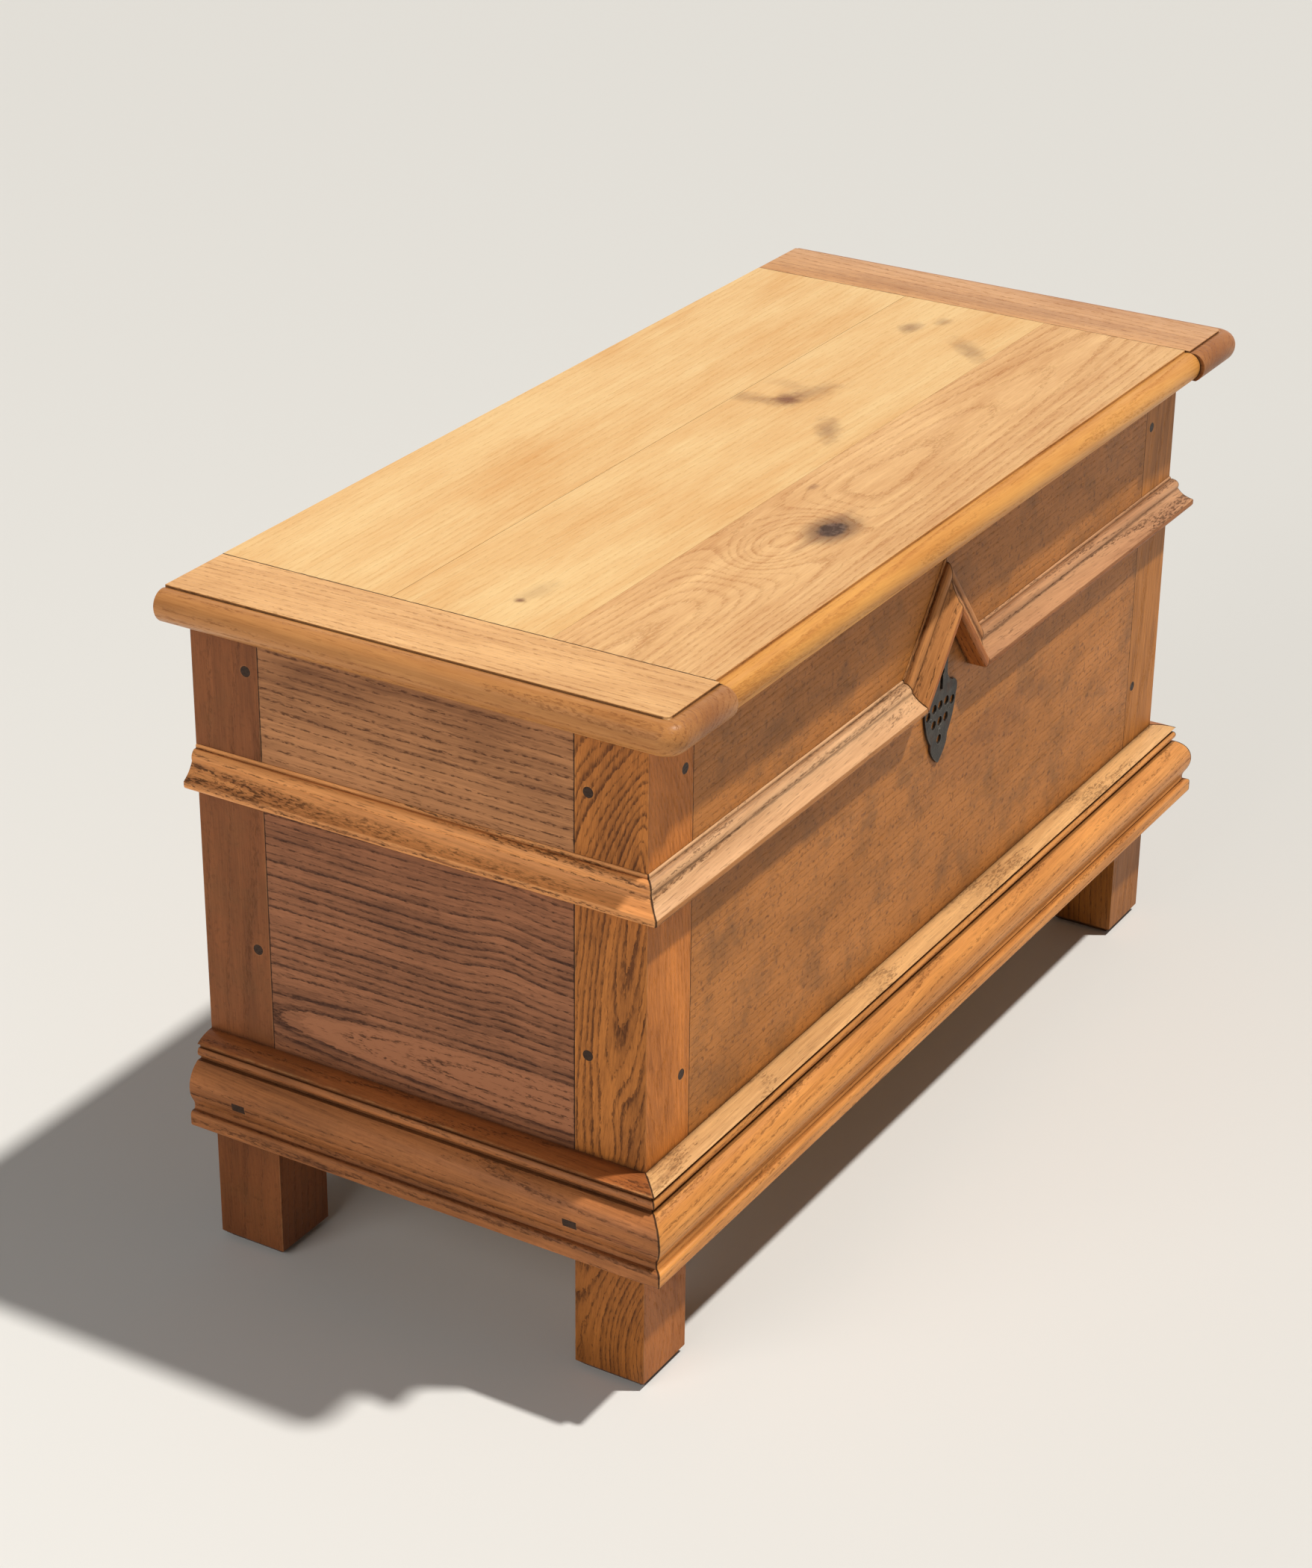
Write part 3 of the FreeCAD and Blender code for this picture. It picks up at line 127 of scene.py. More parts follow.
def oak_figure_group():
    """Ring-porous oak cut from a log whose pith is the x axis: rings, rows of pores, fibres, blotches."""
    group, t, given, result = new_group(
        "oak_figure",
        {"Log": "Vector", "Ring Shift": "Float", "Ring Width": "Float", "Wobble": "Float", "Band": "Float",
         "Ring Contrast": "Float", "Pore Contrast": "Float", "Streak": "Float", "Fibre": "Float",
         "Blotch": "Float", "Heart": "Float", "Light": "Color", "Dark": "Color", "Pore": "Color"},
        {"Colour": "Color", "Roughness": "Float", "Height": "Float"},
    )
    log = given["Log"]
    axes = t.add("ShaderNodeSeparateXYZ", {0: log}).outputs
    radius = t.math("SQRT", t.total(t.product(axes[1], axes[1]), t.product(axes[2], axes[2])))
    slow = t.spread(t.noise(log, *WAVE), given["Wobble"])
    ragged = t.spread(t.noise(log, *RAGGED), RAGGED_DEPTH)
    fray = t.spread(t.noise(log, *FRAYED), FRAYED_DEPTH)
    uneven = t.total(radius, slow, ragged, fray)
    phase = t.math("DIVIDE", t.math("ADD", uneven, given["Ring Shift"]), given["Ring Width"])
    ring = t.math("FLOOR", phase)
    place = t.math("FRACT", phase)
    chance = t.add("ShaderNodeTexWhiteNoise", {"W": ring}, noise_dimensions="1D").outputs["Value"]

    heart = t.step(uneven, t.product(given["Heart"], 0.9), given["Heart"], 1.0, 0.0)
    thicker = t.total(t.product(heart, HEART_BAND), 1.0)
    stronger = t.total(t.product(heart, HEART_CONTRAST), 1.0)
    band = t.product(given["Band"], t.step(chance, 0.0, 1.0, 0.55, 1.35), thicker)
    early = t.product(t.step(place, 0.0, 0.06), t.step(place, t.product(band, 0.25), band, 1.0, 0.0))
    broken = t.step(t.noise(log, *BROKEN), 0.3, 0.62, 0.25, 1.0)
    dashes = t.step(t.noise(log, *DASHES), 0.45, 0.6)
    specks = t.step(t.noise(log, *SPECKS), 0.6, 0.73)
    pores = t.math("MAXIMUM", t.product(early, dashes), t.product(specks, 0.5))
    fibre = t.noise(log, *FIBRE)
    streak = t.noise(log, *STREAK)
    blotch = t.noise(log, *BLOTCH)

    depth = t.total(
        t.product(given["Ring Contrast"], early, broken, t.step(chance, 0.0, 1.0, 0.5, 1.0), stronger),
        t.product(t.math("SUBTRACT", chance, 0.5), given["Ring Contrast"], 0.3),
        t.spread(fibre, given["Fibre"]),
        t.spread(streak, given["Streak"]),
        t.spread(blotch, given["Blotch"]),
        t.product(heart, HEART_SHADE),
        MEAN_SHADE,
    )
    shade = t.add("ShaderNodeClamp", {0: depth}).outputs[0]
    colour = t.mix(shade, given["Light"], given["Dark"])
    colour = t.mix(t.product(pores, given["Pore Contrast"]), colour, given["Pore"])
    t.tree.links.new(colour, result.inputs["Colour"])
    rough = t.total(OAK_ROUGHNESS, t.product(pores, 0.2), t.spread(fibre, 0.10), t.spread(blotch, 0.12))
    t.tree.links.new(rough, result.inputs["Roughness"])
    height = t.total(t.product(fibre, 0.5), t.product(pores, -1.0), t.product(early, -0.35))
    t.tree.links.new(height, result.inputs["Height"])
    return group


# Near ambient occlusion paints shade into crevices, together with their dirt and old wax.
CREVICE_DISTANCE = 7 * MM
# Wide ambient occlusion paints shade into hollows, together with old patina.
PATINA_AND_SHADE_DISTANCE = 45 * MM
# Radius of the pale convex edges: rubbed wear with a painted highlight.
PALE_EDGE_RADIUS = 2.4 * MM
# Colour of the painted shade with patina in hollows.
PATINA_AND_SHADE_TONE = srgb(84, 46, 22)
# Colour of the pale edges: rubbed wear with a painted highlight.
RUBBED_AND_HIGHLIGHT_TONE = srgb(240, 192, 130)
# Colour of the dirt with painted shade in crevices, and of the dark lines.
DIRT_AND_SHADE_TONE = srgb(36, 20, 12)
UNEVEN = ((60.0, 60.0, 60.0), 3.0, 0.6)


def age_and_painted_light_group():
    """Grime and old wax with painted shade in the corners, the given dark lines, painted shade with old
    patina in the hollows, and pale edges that are rubbed wear with a painted highlight.
    """
    group, t, given, result = new_group(
        "age_and_painted_light",
        {"Colour": "Color", "Roughness": "Float", "Point": "Vector", "Seam": "Float", "Dirt And Shade": "Float",
         "Rub And Highlight": "Float"},
        {"Colour": "Color", "Roughness": "Float"},
    )
    uneven = t.noise(given["Point"], *UNEVEN)
    # Painted shade with dirt: near occlusion darkens corners and crevices.
    near = t.add("ShaderNodeAmbientOcclusion", {"Distance": CREVICE_DISTANCE}, samples=6).outputs["AO"]
    wide = t.add("ShaderNodeAmbientOcclusion", {"Distance": PATINA_AND_SHADE_DISTANCE}, samples=4).outputs["AO"]
    patchy = t.step(uneven, 0.1, 0.8, 0.7, 1.0)
    crevice = t.product(t.step(near, 0.45, 0.86, 1.0, 0.0), given["Dirt And Shade"], patchy)
    dirt_and_shade = t.math("MAXIMUM", crevice, given["Seam"])
    # Painted shade with old patina in the hollows.
    patina_and_shade = t.product(t.step(wide, 0.35, 0.95, 0.45, 0.0), given["Dirt And Shade"])
    # Pale convex edges: rubbed wear with a painted highlight.
    rounded = t.add("ShaderNodeBevel", {"Radius": PALE_EDGE_RADIUS}, samples=4).outputs[0]
    flat = t.add("ShaderNodeNewGeometry").outputs["Normal"]
    along = t.add("ShaderNodeVectorMath", {0: rounded, 1: flat}, operation="DOT_PRODUCT").outputs["Value"]
    edge = t.step(along, 0.84, 0.985, 1.0, 0.0)
    rub_and_highlight = t.product(edge, t.step(uneven, 0.36, 0.66), given["Rub And Highlight"], t.step(near, 0.75, 0.95))
    colour = t.mix(patina_and_shade, given["Colour"], PATINA_AND_SHADE_TONE)
    colour = t.mix(t.product(rub_and_highlight, 0.5), colour, RUBBED_AND_HIGHLIGHT_TONE)
    # Dirt with painted shade in crevices, over the dark joint lines and painted groove shade.
    colour = t.mix(dirt_and_shade, colour, DIRT_AND_SHADE_TONE)
    t.tree.links.new(colour, result.inputs["Colour"])
    rough = t.total(given["Roughness"], t.product(dirt_and_shade, 0.25), t.product(rub_and_highlight, -0.06))
    t.tree.links.new(rough, result.inputs["Roughness"])
    return group


SHARP_ANGLE = math.radians(38.0)


def convex_edges_group():
    """Marks the sharp convex edges of a mesh for its bevel."""
    group = bpy.data.node_groups.new("convex_edges", "GeometryNodeTree")
    group.interface.new_socket("Geometry", in_out="INPUT", socket_type="NodeSocketGeometry")
    group.interface.new_socket("Geometry", in_out="OUTPUT", socket_type="NodeSocketGeometry")
    t = Tree(group)
    mesh = t.add("NodeGroupInput").outputs[0]
    angle = t.add("GeometryNodeInputMeshEdgeAngle").outputs["Signed Angle"]
    sharp = t.math("GREATER_THAN", angle, SHARP_ANGLE)
    mark = t.add(
        "GeometryNodeStoreNamedAttribute",
        {"Geometry": mesh, "Name": "bevel_weight_edge"},
        data_type="FLOAT",
        domain="EDGE",
    )
    value = next(socket for socket in mark.inputs if socket.name == "Value" and socket.enabled)
    t.tree.links.new(sharp, value)
    t.add("NodeGroupOutput", {0: mark.outputs[0]})
    return group


OAK_FIGURE = oak_figure_group()
AGE_AND_PAINTED_LIGHT = age_and_painted_light_group()
CONVEX_EDGES = convex_edges_group()

BARE_LIGHT = srgb(203, 166, 116)
BARE_DARK = srgb(150, 110, 68)
PORE = srgb(52, 29, 15)
LID_PORE = srgb(128, 78, 42)
CLOUD_TONE = srgb(110, 76, 44)
FLECK_TONE = srgb(92, 52, 24)
STAIN_TONE = srgb(112, 59, 34)
KNOT_HALO = srgb(84, 46, 26)
KNOT_DARK = srgb(58, 40, 34)
KNOT_PALE = srgb(112, 90, 78)
GRIT = ((130.0, 130.0, 130.0), 3.0, 0.6)
CLOUDS = ((26.0, 26.0, 26.0), 6.0, 0.72)
FLECKS = ((240.0, 240.0, 240.0), 3.0, 0.6)
STAIN_RIM = ((70.0, 70.0, 70.0), 3.0, 0.6)
DUST = ((6.0, 40.0, 40.0), 3.0)
TINT_BLUR = 0.4
GRAIN_DEPTH = 0.5 * MM
OAK_SPECULAR = 0.13
OAK_COAT, OAK_COAT_ROUGHNESS = 0.05, 0.34


def log_turn(along):
    """Euler angles that turn the x axis to the direction of the grain."""
    direction = Vector(along).normalized()
    side = Vector((0, 0, 1)) if abs(direction.z) < 0.9 else Vector((1, 0, 0))
    across = side.cross(direction).normalized()
    up = direction.cross(across)
    return Matrix((direction, across, up)).transposed().to_euler()


def oak(name, pith, along, light, dark, pore=PORE, ring=9.0, wobble=4.0, band=0.4, contrast=0.35, pores=0.6,
        streak=0.5, fibre=0.5, blotch=0.5, mottle=0.0, shift=0.0, heart=0.0, dirt_and_shade=0.85, rub_and_highlight=0.3, dull=0.0,
        calm=None, bare=None, knots=(), stains=(), seams_and_groove_shade=(), tints=()):
    """An oak material. The log's pith goes through a point along the grain. All lengths are in millimetres.

    ring is the width of a growth ring, wobble how far the rings wander, band the share of a ring that is
    dark, shift where the rings start and heart the radius of the pale heartwood. calm is (point, normal):
    the figure fades beyond that plane. bare gives a box where the wood is unpolished.

    A knot is (centre, size, lift of the rings, size of its core or None where the grain only bends).
    A stain is (centre, size, turn about z in degrees, strength).
    Dark lines, which mark joints and paint shade along each groove of a moulding, are each (point, normal
    of its plane, strength, half width).
    A tint is (planes, from, to, colour): a layer over the outermost of its planes, each (point, normal).
    """
    material = bpy.data.materials.new(name)
    material.use_nodes = True
    t = Tree(material.node_tree)
    t.tree.nodes.clear()
    point = t.add("ShaderNodeTexCoord").outputs["Object"]
    place = {"Vector": point, "Location": [c * MM for c in pith], "Rotation": log_turn(along)}
    log = t.add("ShaderNodeMapping", place, vector_type="TEXTURE").outputs[0]
    grit = t.noise(point, *GRIT)

    def height_over(start, normal):
        """Height of the surface point over a plane."""
        away = t.add("ShaderNodeVectorMath", {0: point, 1: [c * MM for c in start]}, operation="SUBTRACT")
        plane = {0: away.outputs[0], 1: Vector(normal).normalized()}
        return t.add("ShaderNodeVectorMath", plane, operation="DOT_PRODUCT").outputs["Value"]

    lift = shift * MM
    cores = []
    for centre, size, rise, core in knots:
        far = t.reach(point, [c * MM for c in centre], [s * MM for s in size])
        hill = t.math("EXPONENT", t.product(far, far, -1.0))
        lift = t.math("ADD", t.product(hill, rise * MM), lift)
        if core:
            near = t.reach(point, [c * MM for c in centre], [c * MM for c in core])
            near = t.math("ADD", near, t.spread(grit, 0.2))
            cores.append((t.step(near, 0.6, 1.0, 1.0, 0.0), t.step(near, 0.85, 2.2, 0.7, 0.0)))

    if calm:
        figured = t.step(height_over(*calm), 0.0, 0.5 * MM, 1.0, 0.15)
        contrast, pores = t.product(figured, contrast), t.product(figured, pores)
    figure = t.add("ShaderNodeGroup", node_tree=OAK_FIGURE)
    t.feed(figure, {
        "Log": log, "Ring Shift": lift, "Ring Width": ring * MM, "Wobble": wobble * MM, "Band": band,
        "Ring Contrast": contrast, "Pore Contrast": pores, "Streak": streak, "Fibre": fibre,
        "Blotch": blotch, "Heart": heart * MM, "Light": light, "Dark": dark, "Pore": pore,
    })
    colour, rough, height = (figure.outputs[n] for n in ("Colour", "Roughness", "Height"))
    if dull:
        rough = t.math("ADD", rough, dull)
    if mottle:
        cloud = t.step(t.noise(point, *CLOUDS), 0.42, 0.72, 0.0, mottle)
        colour = t.mix(cloud, colour, CLOUD_TONE)
        flecks = t.step(t.noise(point, *FLECKS), 0.54, 0.7, 0.0, mottle)
        colour = t.mix(flecks, colour, FLECK_TONE)
    for planes, low, high, tint in tints:
        level = height_over(*planes[0])
        for plane in planes[1:]:
            level = t.math("MAXIMUM", level, height_over(*plane))
        inside = t.product(
            t.step(level, (low - TINT_BLUR) * MM, (low + TINT_BLUR) * MM),
            t.step(level, (high - TINT_BLUR) * MM, (high + TINT_BLUR) * MM, 1.0, 0.0),
        )
        colour = t.mix(inside, colour, tint, "MULTIPLY")

    for dark_core, halo in cores:
        colour = t.mix(halo, colour, KNOT_HALO)
        core_tone = t.mix(t.step(grit, 0.4, 0.68), KNOT_DARK, KNOT_PALE)
        colour = t.mix(t.product(dark_core, 0.92), colour, core_tone)
        rough = t.math("ADD", rough, t.product(dark_core, 0.2))
        height = t.math("ADD", height, t.product(dark_core, t.spread(grit, 2.0)))
    for centre, size, turn, strength in stains:
        about_z = (0.0, 0.0, math.radians(turn))
        far = t.reach(point, [c * MM for c in centre], [s * MM for s in size], about_z)
        far = t.math("ADD", far, t.spread(t.noise(point, *STAIN_RIM), 0.7))
        colour = t.mix(t.step(far, 0.1, 1.5, strength, 0.0), colour, STAIN_TONE)

    if bare:
        (x0, y0, z0), (x1, y1, z1) = bare
        axes = t.add("ShaderNodeSeparateXYZ", {0: point}).outputs
        inside = t.product(*(
            t.math(sign, axes[axis], limit * MM)
            for axis, low, high in ((0, x0, x1), (1, y0, y1), (2, z0, z1))
            for sign, limit in (("GREATER_THAN", low), ("LESS_THAN", high))
        ))
        dusty = t.noise(log, *DUST)
        raw = t.mix(t.total(t.product(height, 0.3), dusty), BARE_DARK, BARE_LIGHT)
        colour = t.mix(inside, colour, raw)
        rough = t.math("ADD", rough, t.product(inside, 0.3))

    # Dark joint lines, and painted shade along the grooves of the mouldings.
    seam_and_groove_shade = 0.0
    for start, normal, strength, half in seams_and_groove_shade:
        gap = t.math("ADD", t.math("ABSOLUTE", height_over(start, normal)), t.spread(grit, 0.6 * half * MM))
        seam_and_groove_shade = t.math("MAXIMUM", seam_and_groove_shade, t.step(gap, 0.3 * half * MM, half * MM, strength, 0.0))

    # Adds dirt with painted shade in crevices, patina with painted shade in hollows, and pale edges of wear
    # with a painted highlight.
    aged_and_painted = t.add("ShaderNodeGroup", node_tree=AGE_AND_PAINTED_LIGHT)
    t.feed(aged_and_painted, {
        "Colour": colour, "Roughness": rough, "Point": point, "Seam": seam_and_groove_shade, "Dirt And Shade": dirt_and_shade, "Rub And Highlight": rub_and_highlight,
    })
    bump = t.add("ShaderNodeBump", {"Strength": 0.4, "Distance": GRAIN_DEPTH, "Height": height}).outputs[0]
    shader = t.add("ShaderNodeBsdfPrincipled", {
        "Base Color": aged_and_painted.outputs["Colour"], "Roughness": aged_and_painted.outputs["Roughness"], "Normal": bump,
        "Specular IOR Level": OAK_SPECULAR, "Coat Weight": OAK_COAT, "Coat Roughness": OAK_COAT_ROUGHNESS,
    }).outputs[0]
    t.add("ShaderNodeOutputMaterial", {"Surface": shader})
    return material


RUST_TONE = srgb(92, 50, 28)
BRIGHT_IRON = srgb(150, 148, 142)
IRON_MOTTLE = ((140.0, 140.0, 140.0), 4.0, 0.6)
IRON_PITS = ((620.0, 620.0, 620.0), 3.0, 0.6)
IRON_PATCHES = ((48.0, 48.0, 48.0), 4.0, 0.65)
IRON_EDGE_RADIUS = 1.0 * MM
PIT_DEPTH = 0.5 * MM
IRON_METALLIC = 0.75


def iron(name, light, dark, rust=0.35, roughness=0.5):
    """Old forged iron: dark, mottled, pitted, with rust in patches and brighter rubbed edges."""
    material = bpy.data.materials.new(name)
    material.use_nodes = True
    t = Tree(material.node_tree)
    t.tree.nodes.clear()
    point = t.add("ShaderNodeTexCoord").outputs["Object"]
    mottle = t.noise(point, *IRON_MOTTLE)
    pits = t.noise(point, *IRON_PITS)
    patches = t.noise(point, *IRON_PATCHES)
    colour = t.mix(t.step(mottle, 0.3, 0.7), dark, light)
    rusty = t.product(t.step(patches, 0.5, 0.72), rust)
    colour = t.mix(rusty, colour, RUST_TONE)
    rounded = t.add("ShaderNodeBevel", {"Radius": IRON_EDGE_RADIUS}, samples=4).outputs[0]
    flat = t.add("ShaderNodeNewGeometry").outputs["Normal"]
    along = t.add("ShaderNodeVectorMath", {0: rounded, 1: flat}, operation="DOT_PRODUCT").outputs["Value"]
    rubbed = t.product(t.step(along, 0.8, 0.98, 1.0, 0.0), t.step(patches, 0.6, 0.4))
    colour = t.mix(t.product(rubbed, 0.6), colour, BRIGHT_IRON)
    rough = t.total(roughness, t.spread(mottle, 0.14), t.product(rusty, 0.3), t.product(rubbed, -0.12))
    height = t.total(pits, t.product(mottle, 0.8))
    bump = t.add("ShaderNodeBump", {"Strength": 0.5, "Distance": PIT_DEPTH, "Height": height}).outputs[0]
    shader = t.add("ShaderNodeBsdfPrincipled", {
        "Base Color": colour, "Roughness": rough, "Normal": bump, "Metallic": IRON_METALLIC,
    }).outputs[0]
    t.add("ShaderNodeOutputMaterial", {"Surface": shader})
    return material


# Places on the chest, in millimetres.
LEFT_FACE, RIGHT_FACE, FRONT_FACE = -445, 445, -180
POST_INNER = 385
END_BOARD_FRONT, END_BOARD_REAR = -120, 152
BACK_JOINT_LEVEL = 349
FOOT_TOP = 119
BELOW_BASE, LEDGE_LEVEL, ABOVE_BASE = 100, 184, 200
MID_UNDERSIDE, MID_TOP = 405, 436
CHEVRON_FOOT, CHEVRON_RISE = 66, math.radians(51.0)
CLAMP_JOINT = 399
NOSE_SIDE, CLAMP_NOSE_FRONT, BOARD_NOSE_FRONT = 467, -208, -204

# The unpolished inside of the case and underside of the lid.
CASE_INSIDE = ((-421.5, -156.6, 100.0), (421.5, 188.6, 560.0))
LID_UNDER = ((-470.0, -216.0, 500.0), (470.0, 230.0, 545.5))

# Palettes: light and dark wood, and pores where they have their own colour.
FRONT = dict(light=srgb(207, 133, 63), dark=srgb(131, 80, 35))
END_UPPER = dict(light=srgb(190, 132, 86), dark=srgb(104, 65, 41), pore=srgb(80, 47, 28))
END_LOWER = dict(light=srgb(163, 106, 72), dark=srgb(78, 46, 30), pore=srgb(58, 33, 20))
POST = dict(light=srgb(224, 136, 58), dark=srgb(116, 64, 25), pore=srgb(84, 47, 22))
POST_RIGHT = dict(light=srgb(205, 131, 57), dark=srgb(106, 62, 24), pore=srgb(84, 47, 22))
POST_DARK = dict(light=srgb(141, 84, 47), dark=srgb(94, 53, 29))
BASE_FRONT = dict(light=srgb(238, 188, 127), dark=srgb(162, 113, 67))
BASE_END = dict(light=srgb(187, 119, 69), dark=srgb(110, 65, 37))
MID_FRONT = dict(light=srgb(235, 187, 140), dark=srgb(163, 114, 74))
MID_RIGHT = dict(light=srgb(212, 158, 113), dark=srgb(144, 98, 66))
CHEVRON = dict(light=srgb(222, 153, 90), dark=srgb(146, 91, 50))
MID_END = dict(light=srgb(248, 171, 103), dark=srgb(142, 86, 48))
LID_PALE = dict(light=srgb(237, 199, 140), dark=srgb(217, 160, 97), pore=LID_PORE)
LID_BROWN = dict(light=srgb(237, 191, 133), dark=srgb(188, 128, 76), pore=LID_PORE)
CLAMP = dict(light=srgb(241, 189, 127), dark=srgb(186, 130, 78), pore=LID_PORE)
CLAMP_BROWN = dict(light=srgb(228, 173, 118), dark=srgb(176, 118, 72), pore=LID_PORE)
BARE = dict(light=BARE_LIGHT, dark=BARE_DARK)
PEG = dict(light=srgb(64, 45, 33), dark=srgb(34, 24, 18))

# Joint lines: boards against posts, boards against clamps, mitres of the mouldings.
X_AXIS, Y_AXIS, Z_AXIS = (1, 0, 0), (0, 1, 0), (0, 0, 1)
LEFTWARD, FRONTWARD = (-1, 0, 0), (0, -1, 0)
FRONT_SEAMS = [((x, 0, 0), X_AXIS, 0.9, 1.3) for x in (-POST_INNER, POST_INNER)]
BACK_JOINT = ((0, 0, BACK_JOINT_LEVEL), Z_AXIS, 0.8, 0.9)
END_SEAMS = [((0, y, 0), Y_AXIS, 0.95, 1.4) for y in (END_BOARD_FRONT, END_BOARD_REAR)]
CLAMP_SEAMS = [((x, 0, 0), X_AXIS, 0.9, 1.2) for x in (-CLAMP_JOINT, CLAMP_JOINT)]
LEFT_CORNER = ((LEFT_FACE, FRONT_FACE, 0), (1, -1, 0), 0.9, 1.1)
RIGHT_CORNER = ((RIGHT_FACE, FRONT_FACE, 0), (1, 1, 0), 0.9, 1.1)
TURN = (math.cos(CHEVRON_RISE / 2), math.sin(CHEVRON_RISE / 2))
LEFT_TURN = ((-CHEVRON_FOOT, 0, MID_TOP), (TURN[0], 0, TURN[1]), 0.7, 1.0)
RIGHT_TURN = ((CHEVRON_FOOT, 0, MID_TOP), (-TURN[0], 0, TURN[1]), 0.7, 1.0)
APEX = ((0, 0, 0), X_AXIS, 0.7, 1.0)

# Golden nose of the middle moulding and the chevron, and painted shade lines along their grooves, measured
# up from the underside.
NOSE_GOLD = srgb(216, 186, 144)
NOSE_TOP = 6.2
GROOVE_SHADE_LEVELS = ((27.3, 0.25, 1.2), (19.2, 0.4, 1.7))
BELOW = -5


def nose(start, normal):
    """Tint for the nose of a moulding whose underside lies in a plane."""
    return [([(start, normal)], BELOW, NOSE_TOP, NOSE_GOLD)]


def groove_shade(start, normal):
    """Painted shade lines along each groove of a moulding whose underside lies in a plane."""
    return [([s + n * level for s, n in zip(start, normal)], normal, strength, half)
            for level, strength, half in GROOVE_SHADE_LEVELS]


RISE = (math.cos(CHEVRON_RISE), math.sin(CHEVRON_RISE))
RISE_START = MID_TOP - (MID_TOP - MID_UNDERSIDE) / RISE[0]
LEVEL = ((0, 0, MID_UNDERSIDE), Z_AXIS)
LEFT_RISE = ((-CHEVRON_FOOT, 0, RISE_START), (-RISE[1], 0, RISE[0]))
RIGHT_RISE = ((CHEVRON_FOOT, 0, RISE_START), (RISE[1], 0, RISE[0]))

# Tints by height: feet, lower members of the front's base moulding, ledge of the left end's.
GROUND = [((0, 0, 0), Z_AXIS)]
FOOT = [(GROUND, BELOW, FOOT_TOP, srgb(222, 220, 220))]
BASE_LOWER = [(GROUND, BELOW_BASE, LEDGE_LEVEL, srgb(249, 217, 176))]
BASE_LEDGE = [(GROUND, LEDGE_LEVEL, ABOVE_BASE, srgb(240, 224, 206))]

# Painted shade on the left side of the left front post, cooler and darker than its front, and the quiet
# fronts of both front posts.
SHADED_SIDE = [([((LEFT_FACE, 0, 0), X_AXIS)], BELOW, 0.5, srgb(231, 237, 255))]
CALM_FRONT = ((0, FRONT_FACE + 1, 0), FRONTWARD)

# Rounded nose of the lid, outside its quirk.
NOSE_REACH = 40
CLAMP_SIDES = [
    ((0, CLAMP_NOSE_FRONT, 0), FRONTWARD), ((NOSE_SIDE, 0, 0), X_AXIS), ((-NOSE_SIDE, 0, 0), LEFTWARD),
]
CLAMP_NOSE = [(CLAMP_SIDES, 0, NOSE_REACH, srgb(211, 190, 170))]
BOARD_NOSE = [([((0, BOARD_NOSE_FRONT, 0), FRONTWARD)], 0, NOSE_REACH, srgb(249, 226, 176))]

